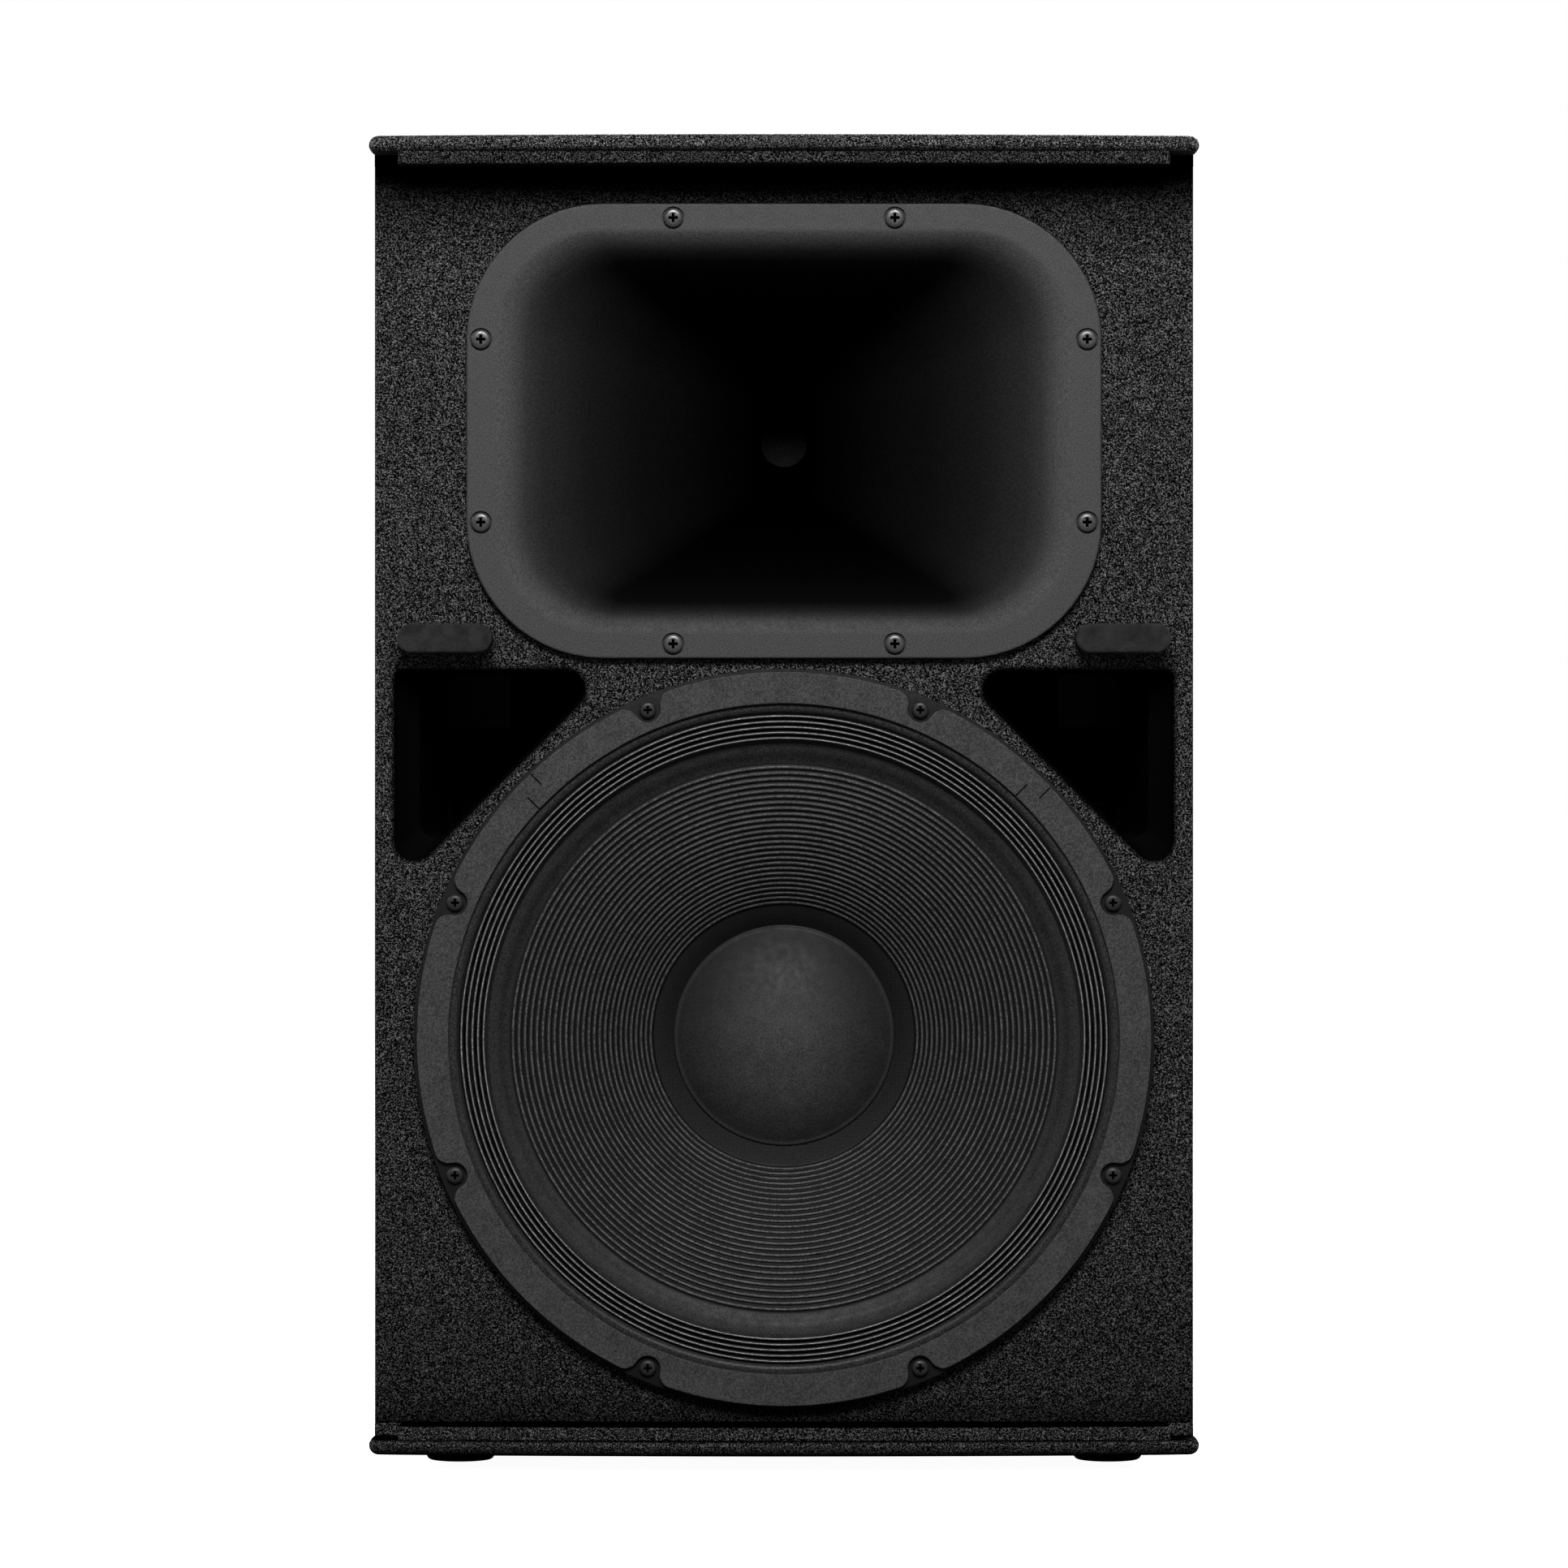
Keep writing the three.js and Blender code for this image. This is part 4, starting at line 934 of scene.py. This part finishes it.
def horn_rings():
    """Rings over the flange, down flare, tunnel and throat, round the seat and back along the outside."""
    def flange(by, depth):
        return horn_ring(HORN_HALF_X - by, HORN_HALF_Z - by, HORN_CORNER - by, depth)

    edge, steps, back_steps = 1.1, 40, 14
    rings = [flange(0, 4.9), flange(0, 3)]
    rings += [flange(edge * (1 - math.cos(a)), edge * (1 - math.sin(a))) for a in quarter_turn(4)]
    rings += [flange(by, 0) for by in (2, 5, 9, 13)]
    rings += [flare(SLOT_DEPTH * (k / steps) ** 2) for k in range(steps + 1)]
    rings += [tunnel(k / 10) for k in range(1, 11)]
    rings += [horn_ring(radius + NUDGE, radius + NUDGE, radius, HORN_SEAT - short)
              for radius, short in ((THROAT, 0), (44, 0), (45, 1), (45, 7), (18, 8))]
    rings += [flare(SLOT_DEPTH * (1 - k / back_steps) ** 1.5, HORN_WALL) for k in range(back_steps)]
    return rings + [flange(16, 5.7), flange(14.2, 4.9)]


def horn():
    """The waveguide with a counterbore round each screw."""
    thing = loft("horn_waveguide", horn_rings(), HORN, sharp=38)
    bore, hole, deep = 5.95, 2.6, 9
    profile = [(0, -3), (bore, -3), (bore, 1.3), (hole, 1.3), (hole, deep), (0, deep)]
    tools = []
    for i in range(1, 9):
        place = centre_mm(f"horn_screw_{i}")
        tools.append(lathe(f"counterbore_{i}", profile, 40, (place.x, HORN_FACE, place.z), HORN, body=None))
    cut_away(thing, tools, 38)
    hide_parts("horn")


def throat_screen():
    """Fine acoustic cloth across the driver's exit."""
    depth, radius, thick = node_mm("driver_pole_piece")[0].y - 4, 12.4, 0.6
    profile = [(0, depth), (radius, depth), (radius, depth + thick), (0, depth + thick)]
    lathe("throat_screen", profile, 48, (0, 0, HORN_Z), SCREEN)


# ---------------------------------------------------------------- screws

def put(thing, matrix):
    """Moves a mesh built at the origin to its place; the matrix is in millimetres."""
    in_metres = matrix.copy()
    in_metres.translation *= MM
    thing.data.transform(in_metres)
    return thing


def add_screw(name, head, height, length, finish, matrix, hexagon=False):
    """A dome-headed screw with its drive cut in. Before the matrix its seat is at y 0, its head at -y."""
    dome = [(0, -height), (head * 0.5, -height)]
    for k in range(1, 10):
        a = math.pi / 2 * k / 9
        dome.append((head * (0.5 + 0.5 * math.sin(a)), -0.35 * height - 0.65 * height * math.cos(a)))
    shank = 0.42 * head
    dome += [(head, 0), (shank, 0), (shank, length - 2), (0, length)]
    screw = lathe(name, dome, 40, (0, 0, 0), finish, sharp=40)
    long, wide, depth = head * 0.48, head * 0.15, 0.8 * height
    cross = [(-wide, -long), (wide, -long), (wide, -wide), (long, -wide), (long, wide), (wide, wide),
             (wide, long), (-wide, long), (-wide, wide), (-long, wide), (-long, -wide), (-wide, -wide)]
    outline = circle(0, 0, head * 0.5, 6) if hexagon else [Vector(corner) for corner in cross]
    recess = slab(name + "_recess", outline, [], -height - 1, depth - height, RECESS, place=front_view,
                  body=None)
    cut_away(screw, [recess], 40)
    return put(screw, matrix)


def front_screw(name, node, head, height, finish, head_depth=2.6):
    """A pan-head screw with a cross recess, its head's seat where the CAD screw has it."""
    low, high = node_mm(node)
    place = centre_mm(node)
    seat = low.y + head_depth
    matrix = Matrix.Translation((place.x, seat, place.z))
    screw = add_screw(name, head, height, high.y - seat, finish, matrix)
    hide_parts(node)


def back_screws(name, spots, head, height, length):
    """Screws with their heads towards the back."""
    for i, spot in enumerate(spots):
        matrix = Matrix.Translation(spot) @ Matrix.Rotation(math.pi, 4, "Z")
        add_screw(f"{name}_screw_{i + 1}", head, height, length, SCREW, matrix)


# ---------------------------------------------------------------- woofer

def at_woofer(depth=0.0):
    return 0, BAFFLE_FRONT + depth, WOOFER_Z


CONE_EDGE, CAP_EDGE, CLOTH_EDGE = 157, 58.9, 69.0
RIB_OUT, RIB_IN, RIBS, RIB_RELIEF = 144.4, 69.6, 26, 1.05
CAP_RISE = 18
ROLLS, FIRST_ROLL, ROLL_PITCH, ROLL_HEIGHT = 5, 169.7, 2.9, 1.3
GASKET_INNER, GASKET_OUTER, SCREW_CIRCLE, BAY = 176.3, 192.9, 187.1, 6.7


def cone_depth(radius):
    """Depth of the cone's front surface: shallow at the edge, steeper towards the neck."""
    span = CONE_EDGE - CAP_EDGE
    u = (CONE_EDGE - radius) / span
    return span * (0.22 * u + 0.3 * max(u, 0) ** 2.5)


def slant(radius, steps=60):
    """Length along the cone's surface from its edge to a radius."""
    total = 0.0
    for k in range(steps):
        a = CONE_EDGE + (radius - CONE_EDGE) * k / steps
        b = CONE_EDGE + (radius - CONE_EDGE) * (k + 1) / steps
        total += math.hypot(b - a, cone_depth(b) - cone_depth(a))
    return total


def rib_share(radius):
    """Relief of the pressed ribs, 0 to 1: broad crests between narrow valleys, even along the slant."""
    share = (slant(radius) - slant(RIB_OUT)) / (slant(RIB_IN) - slant(RIB_OUT))
    return 1 - abs(math.cos(math.pi * RIBS * share)) ** 2.2


def cone():
    """Pressed paper cone with ribs, a smooth outer ring and a woven ring by the cap."""
    def surface(*places):
        return [(r, cone_depth(r) + below) for r, below in places]

    front = surface((CONE_EDGE, 0.2), (156, 0), (152, 0), (149.3, 0), (148.9, 0.35), (145.2, 0.35))
    crests = {}
    samples = RIBS * 9
    for k in range(samples + 1):
        r = RIB_OUT + (RIB_IN - RIB_OUT) * k / samples
        crests[round(r, 2)] = rib_share(r)
        front.append((r, cone_depth(r) + 0.35 - RIB_RELIEF * crests[round(r, 2)]))
    front += surface((CLOTH_EDGE, 0), (62, 0), (CAP_EDGE + 0.3, 0))
    neck = [(54, cone_depth(CAP_EDGE) + 4), (50.4, 58), (50.4, 60), (53.5, 60)]
    back = surface(*((r, 1.6) for r in (62, 75, 90, 105, 120, 135, 148, CONE_EDGE)))
    thing = lathe("woofer_cone_ribbed", front + neck + back, 256, at_woofer(), [CONE, WEAVE],
                  "woofer_moving", sharp=60)
    mark_crests(thing, lambda r, depth: crests.get(round(r, 2), 0.5))
    for face in thing.data.polygons:
        r = math.hypot(face.center.x / MM, face.center.z / MM - WOOFER_Z)
        face.material_index = 1 if r < CLOTH_EDGE - 0.2 else 0
    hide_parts("woofer_cone")


def dust_cap():
    """A felted dome glued to the cone, with a small flat lip."""
    rim = cone_depth(CAP_EDGE) - 0.7
    shape = [(k / 40 * (CAP_EDGE - 1.4), rim - 0.9 - CAP_RISE * (1 - (k / 40) ** 2)) for k in range(41)]
    shape += [(CAP_EDGE - by, rim - up) for by, up in ((0.9, 1.0), (0.4, 0.8), (0, 0.4), (0.2, 0))]
    shape += [(share * (CAP_EDGE - 3), rim + 0.3 - CAP_RISE * (1 - share ** 2))
              for share in (1, 0.8, 0.6, 0.4, 0.2, 0)]
    thing = lathe("woofer_dust_cap_felt", shape, 192, at_woofer(), CAP, "woofer_moving",
                  sharp=50)
    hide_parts("woofer_dust_cap")


def bending_sectors(name, front, thick, count, segments, material, crest=None):
    """A ring in narrow closed sectors, each spanning from the basket to the cone along its own radius."""
    profile = front + [(r, d + thick) for r, d in reversed(front)]
    half = math.pi / count
    for i in range(count):
        middle = TAU * i / count
        thing = lathe(f"{name}_{i + 1:02d}", profile, segments, at_woofer(), material, body=None,
                      arc=(middle - half, 2 * half), sharp=60)
        if crest:
            mark_crests(thing, crest)
        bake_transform(thing)
        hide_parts(name)


def surround():
    """Corrugated cloth, from its glued lip through the rolls down to the cone's edge."""
    lip = [(177.4, -5.9), (176.5, -5.95), (175.6, -6.1), (174.0, -6.2), (172.6, -5.9), (171.8, -4.9),
           (171.3, -4.2)]
    start, end = FIRST_ROLL + ROLL_PITCH / 2, FIRST_ROLL - ROLL_PITCH * (ROLLS - 0.5)
    rolls = []
    for k in range(ROLLS * 10 + 1):
        s = k / (ROLLS * 10)
        rolls.append((start + (end - start) * s, 1.9 * s - 4.7 + ROLL_HEIGHT * math.cos(TAU * ROLLS * s)))
    front = lip + rolls + [(156.3, -0.9), (155.9, -0.35)]
    heights = {}
    for r, _ in front:
        share = min(max((start - r) / (start - end), 0), 1)
        rolling = CONE_EDGE + 0.2 < r <= start
        heights[round(r, 1)] = 0.5 - 0.5 * math.cos(TAU * ROLLS * share) if rolling else 0.52
    bending_sectors("woofer_surround", front, 0.7, 36, 8, SURROUND,
                    crest=lambda r, depth: heights.get(round(r, 1), 0.5))


def spider():
    """Corrugated suspension disc behind the cone."""
    rolls, inner, outer, depth, height = 6, 51.7, 91.5, 64, 1.2
    samples = rolls * 8
    front = [(outer + (inner - outer) * k / samples, depth + height * math.sin(TAU * rolls * k / samples))
             for k in range(samples + 1)]
    bending_sectors("woofer_spider", front, 0.6, 18, 6, SPIDER)


def basket():
    """The cast frame's rim; its arms keep the CAD shape."""
    inner, outer, face, seat, rear = 171, 178, -6, -3.9, 16
    profile = [
        (WOOFER_RIM, -0.1), (WOOFER_RIM, face + 0.8), (WOOFER_RIM - 0.2, face + 0.3),
        (WOOFER_RIM - 0.8, face), (outer, face), (outer, seat), (inner, seat), (168, rear),
        (176.5, rear), (176.5, -0.1)]
    thing = lathe("woofer_basket_cast", profile, 192, at_woofer(), CAST)
    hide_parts("woofer_basket")


def polar(radius, degrees):
    a = math.radians(degrees)
    return Vector((radius * math.cos(a), WOOFER_Z + radius * math.sin(a)))


def bay_outline(degrees):
    """The gasket's edge round one screw: an open bay with flared sides."""
    screw = polar(SCREW_CIRCLE, degrees)
    along = (screw - Vector((0, WOOFER_Z))).normalized()
    across = Vector((-along.y, along.x))
    side = ((11.2, 5.0), (9.4, 3.8), (7.8, 2.2), (6.9, 0.4))
    arc = [math.pi + math.pi * k / 12 for k in range(1, 12)]
    points = [screw - across * u + along * v for u, v in side]
    points += [screw + across * BAY * math.cos(a) + along * (BAY * math.sin(a) + 0.2) for a in arc]
    return points + [screw + across * u + along * v for u, v in reversed(side)]


def butt_joints(face):
    """Tools for the short slits, in two pairs, where the gasket's strips meet."""
    slits = []
    outside, inside = (184.3, 194.5), (174, 184.9)
    for degrees, (r0, r1) in ((133.65, outside), (136.8, inside), (43.3, outside), (46.4, inside)):
        a = math.radians(45 if degrees < 90 else 135)
        along = Vector((math.cos(a), math.sin(a)))
        across = Vector((-along.y, along.x)) * 0.42
        p = polar(r0, degrees)
        q = p + along * (r1 - r0)
        outline = [p - across, q - across, q + across, p + across]
        slits.append(slab(f"slit_{degrees}", outline, [], face - 1, face + 1.5, GASKET, place=front_view,
                          body=None))
    return slits


def gasket():
    """Fibre ring with a bay round each screw and two butt joints."""
    loop = []
    flare_half = math.degrees(13.5 / GASKET_OUTER)
    for i in range(8):
        start = 22.5 + 45 * i + flare_half
        loop += [polar(GASKET_OUTER, start + (45 - 2 * flare_half) * k / 40) for k in range(41)]
        loop += bay_outline(22.5 + 45 * (i + 1))
    hole = circle(0, WOOFER_Z, GASKET_INNER, 360, backwards=True)
    face = BAFFLE_FRONT - 8.5
    ring = slab("woofer_gasket_fibre", loop, [hole], face, BAFFLE_FRONT - 6.1, GASKET, place=front_view,
                edge_low=0.45, hole_edge_low=0.45)
    cut_away(ring, butt_joints(face), 40)
    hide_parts("woofer_gasket")


# ---------------------------------------------------------------- cabinet fittings

def feet():
    edge, recess, screw_hole, hidden = 2.6, 2.2, 5, 9.9
    for node in ("foot_front_left", "foot_front_right", "foot_rear_left", "foot_rear_right"):
        low, high = node_mm(node)
        place = centre_mm(node)
        radius = (high.x - low.x) / 2
        profile = [(0, recess), (screw_hole, recess), (screw_hole, 0.3), (screw_hole + 0.4, 0),
                   (radius - edge, 0)]
        profile += [(radius - edge * (1 - math.sin(a)), edge * (1 - math.cos(a))) for a in quarter_turn(6)]
        profile += [(radius, hidden), (0, hidden)]
        thing = lathe(node + "_rubber", profile, 72, (place.x, place.y, 0), RUBBER, upright=True)
        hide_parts(node)


def grille_pads():
    """Obround foam blocks with soft edges."""
    for node in ("left_grille_pad", "right_grille_pad"):
        low, high = node_mm(node)
        place = centre_mm(node)
        half_x, half_z = (high.x - low.x) / 2, (high.z - low.z) / 2
        outline = rounded(rectangle(place.x, place.z, half_x - 0.1, half_z - 0.1, half_z - 0.15), 14)
        thing = slab(node + "_foam", outline, [], low.y, BAFFLE_FRONT, FOAM, place=front_view, edge_low=1.6)
        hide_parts(node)


def ports():
    """Each duct's moulded mouth, which fills the triangular hole and narrows into the duct."""
    for side, name in ((-1, "left"), (1, "right")):
        low, high = node_mm(f"{name}_port_duct")
        outermost = max(abs(low.x), abs(high.x)) - 3

        def ring(edge, grow, y, side=side):
            return [(p.x, y, p.y) for p in port_outline(side, grow, edge)]

        stations = [(PORT_EDGE, 0.0, BAFFLE_FRONT + 4.6), (PORT_EDGE - 1.1, -1.0, BAFFLE_FRONT + 9),
                    (outermost, -1.6, BAFFLE_BACK)]
        inside = [ring(*station) for station in stations]
        outside = [ring(edge, grow + 0.8, y) for edge, grow, y in reversed(stations[:2])]
        loft(f"{name}_port_mouth", inside + [ring(outermost, -0.8, BAFFLE_BACK)] + outside, PORT)


def handle(side, name):
    """A moulded recess handle: a rounded flange, a mouth and a pocket that widens behind the grip edge."""
    place = handle_matrix(side)
    half_u, half_v = HANDLE_HALF

    def ring(reach_u, reach_v, radius, w, v=0):
        outline = rounded(rectangle(0, v, reach_u, reach_v, radius), 10)
        return [place @ Vector((w, p.x, p.y)) for p in outline]

    def pocket(grow, w, radius):
        return ring(half_u + grow, half_v + grow, radius, w)

    def mouth(grow, w):
        return ring(78 + grow, 38.5 + grow, 13 + grow, w, -8.5)

    def flange(by, w):
        return ring(half_u + 16 - by, half_v + 12 - by, 14 - by, w)

    face, edge, roll, floor, back, quarter = 3.3, 1.8, 3.0, -49.2, -52, quarter_turn(5)
    rings = [flange(0, 0.3)]
    rings += [flange(edge * (1 - math.cos(a)), 1.5 + edge * math.sin(a)) for a in quarter]
    rings += [flange(3.4, face), flange(3.9, 2.9), flange(4.6, 2.9), flange(5.1, face)]
    rings += [mouth(roll * (1 - math.sin(a)), 0.3 + roll * math.cos(a)) for a in quarter]
    rings += [mouth(0, -8), mouth(0.6, -9.4), mouth(1.6, -10), pocket(-3, -10, 13)]
    rings += [pocket(-3 - 6 * (1 - math.cos(a)), -43 - 6 * math.sin(a), 13) for a in quarter]
    middles = [[place @ Vector((w, 0, 0))] * len(rings[0]) for w in (floor, back)]
    rings += [pocket(-20, floor, 9), *middles]
    rings += [pocket(-2, back, 14), pocket(0, -50, 16), pocket(0, 0.3, 16)]
    cup = loft(f"{name}_handle_moulding", rings, HANDLE, sharp=40)
    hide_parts(f"{name}_handle_cup")
    for i, (u, v) in enumerate(((-92, -54), (92, -54), (92, 54), (-92, 54), (-92, 0), (92, 0))):
        matrix = place @ Matrix.Translation((face, u, v)) @ Matrix.Rotation(math.pi / 2, 4, "Z")
        add_screw(f"{name}_handle_screw_{i + 1}", 4.0, 2.2, 14, DARK_SCREW, matrix)


def input_panel():
    """The steel plate with two twist-lock sockets."""
    low, high = node_mm("input_plate")
    place, half_x, half_z = centre_mm("input_plate"), (high.x - low.x) / 2, (high.z - low.z) / 2
    sockets = ("left_speaker_socket", "right_speaker_socket")
    holes = [circle(centre_mm(node).x, place.z, 14.5, 48, backwards=True) for node in sockets]
    outline = rounded(rectangle(place.x, place.z, half_x, half_z, 6), 8)
    plate = slab("input_plate_steel", outline, holes, low.y, high.y, PLATE, place=front_view, edge_high=0.7,
                 hole_edge_high=0.2)
    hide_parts("input_plate")
    spots = [(place.x + sx * (half_x - 8), high.y, place.z + sz * (half_z - 8))
             for sx, sz in ((-1, -1), (0, -1), (1, -1), (1, 1), (0, 1), (-1, 1))]
    back_screws("input_plate", spots, 3.6, 2.0, 12)
    for node in sockets:
        speaker_socket(node, high.y + 0.3)


def speaker_socket(node, face):
    """Square flange, and a round barrel with a post and two keyways in its bore."""
    place, rim, deep = centre_mm(node), face + 2.5, face - 18
    post, bore, outside = 6, 12, 13.9
    outline = rounded(rectangle(place.x, place.z, 15.5, 17, 3), 8)
    hole = circle(place.x, place.z, 13.4, 64, backwards=True)
    flange = slab(node + "_flange", outline, [hole], face, rim, SOCKET, place=front_view, edge_high=0.8,
                  hole_edge_high=0.1)
    profile = [(bore, rim - 0.2), (12.5, rim + 0.6), (13.6, rim + 0.6), (outside, rim + 0.2),
               (outside, face - 22), (0, face - 22), (0, face + 1), (5.2, face + 1), (post, face + 0.2),
               (post, deep), (bore, deep)]
    barrel = lathe(node + "_barrel", profile, 64, (place.x, 0, place.z), SOCKET,
                   sharp=35)
    keys = []
    for i, degrees in enumerate((90, 270)):
        a = math.radians(degrees)
        spot = Vector((place.x + 12.4 * math.cos(a), place.z + 12.4 * math.sin(a)))
        key = rounded(rectangle(spot.x, spot.y, 1.7, 0.9))
        keys.append(slab(f"{node}_key_{i}", key, [], face - 12, rim + 2, SOCKET, place=front_view,
                         body=None))
    cut_away(barrel, keys, 35)
    for thing in (flange, barrel):
        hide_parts(node)
    spots = [(place.x + u, rim, place.z + v) for u, v in ((-12.4, 13.9), (12.4, -13.9))]
    back_screws(node, spots, 2.0, 1.2, 8)


def rigging_points():
    """Flanged inserts, each closed by a socket-head bolt."""
    well, seat = 8.9, 3.4
    profile = [(well, 0.5), (9.4, 0), (14.4, 0), (15, 0.6), (15, 1.7), (8, 1.7), (8, 13), (0, 13), (0, seat),
               (well, seat)]
    for node in ("rigging_point_top_left", "rigging_point_top_right", "rigging_point_rear"):
        high, place, upwards = node_mm(node)[1], centre_mm(node), "top" in node
        face = (place.x, place.y, high.z) if upwards else (place.x, high.y, place.z)
        matrix = Matrix.Translation(face) @ Matrix.Rotation(-math.pi / 2 if upwards else math.pi, 4, "X")
        insert = lathe(node + "_insert", profile, 64, (0, 0, 0), SCREW, sharp=35)
        put(insert, matrix)
        bolt = add_screw(node + "_bolt", 8.2, 3.2, 6, DARK_SCREW,
                         matrix @ Matrix.Translation((0, seat - 0.1, 0)), hexagon=True)
        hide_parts(node)
        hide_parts(node)


def damping():
    """A pad of wadding behind the horn: crowned, soft at its edges and slightly lumpy."""
    low, high = node_mm("damping_pad")
    place = centre_mm("damping_pad")
    half_x, half_z, margin = (high.x - low.x) / 2, (high.z - low.z) / 2, 4
    outline = rounded(rectangle(place.x, place.z, half_x - margin, half_z - margin, 14), 6)
    rig = centre_mm("rigging_point_rear")
    hole = circle(rig.x, rig.z, 24, 24, backwards=True)
    pad = slab("damping_wadding", outline, [hole], low.y + 8, high.y, WADDING, place=front_view, edge_low=9,
               edge_high=5)
    remesh = pad.modifiers.new("remesh", "REMESH")
    remesh.mode = "VOXEL"
    remesh.voxel_size = 5 * MM
    bpy.context.view_layer.update()
    fresh = bpy.data.meshes.new_from_object(pad.evaluated_get(bpy.context.evaluated_depsgraph_get()))
    pad.modifiers.clear()
    pad.data = fresh
    fresh.materials.clear()
    fresh.materials.append(WADDING)
    for vertex in fresh.vertices:
        x, y, z = vertex.co / MM
        lumps = noise.noise(Vector((x, y, z)) / 34) * 2.0 + noise.noise(Vector((x, y, z)) / 11) * 0.6
        crown = 5.5 * max(0, 1 - ((x - place.x) / half_x) ** 2) * max(0, 1 - ((z - place.z) / half_z) ** 2)
        if y < high.y - 6:
            vertex.co.y -= (crown + min(lumps, 2.0)) * MM
    fresh.polygons.foreach_set("use_smooth", [True] * len(fresh.polygons))
    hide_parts("damping_pad")


def crossover_parts():
    """Film capacitors and a wirewound resistor that stand on the crossover's board."""
    low, high = node_mm("crossover_board")
    place = centre_mm("crossover_board")
    for i, (x, z, radius, half) in enumerate(((18, 28, 11, 22), (18, -4, 9, 18), (62, 22, 8, 16))):
        profile = [(0, -half), (radius - 2, -half), (radius - 0.6, -half + 0.6), (radius, -half + 2),
                   (radius, half - 2), (radius - 0.6, half - 0.6), (radius - 2, half), (0, half)]
        capacitor = lathe(f"crossover_capacitor_{i + 1}", profile, 48, (0, 0, 0), CAPACITOR, upright=True)
        put(capacitor, Matrix.Translation((place.x + x, low.y - radius - 0.4, place.z + z)))
    outline = rounded(rectangle(place.x + 48, place.z - 34, 26, 6, 1.5), 4)
    slab("crossover_resistor", outline, [], low.y - 12, low.y - 0.4, CERAMIC, place=front_view, edge_low=0.8)


def finish_nodes():
    """CAD parts whose shape is already right get their material."""
    finishes = {
        WOOD: ["cross_brace"], BOARD: ["crossover_board"], CAST: ["woofer_basket_arms"],
        STEEL: ["woofer_top_plate", "woofer_pole_piece", "driver_pole_piece", "driver_top_plate"],
        FERRITE: ["woofer_magnet", "driver_magnet"], TITANIUM: ["driver_diaphragm"],
        HANDLE: ["driver_cover", "pole_socket"], WIRE: ["woofer_voice_coil", "crossover_inductor"],
        PORT: ["left_port_duct", "right_port_duct"],
    }
    for material, names in finishes.items():
        for name in names:
            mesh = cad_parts[name].data
            mesh.materials.clear()
            mesh.materials.append(material)


make_camera()
make_studio()
horizontal_panels()
side_panels()
back_panel()
baffle()
horn()
throat_screen()
for number in range(1, 9):
    front_screw(f"horn_screw_{number}_cross", f"horn_screw_{number}", 5.15, 2.4, SCREW)
    front_screw(f"woofer_screw_{number}_cross", f"woofer_screw_{number}", 4.4, 2.4, DARK_SCREW)
basket()
gasket()
surround()
spider()
cone()
dust_cap()
feet()
grille_pads()
ports()
handle(-1, "left")
handle(1, "right")
input_panel()
rigging_points()
damping()
crossover_parts()
finish_nodes()
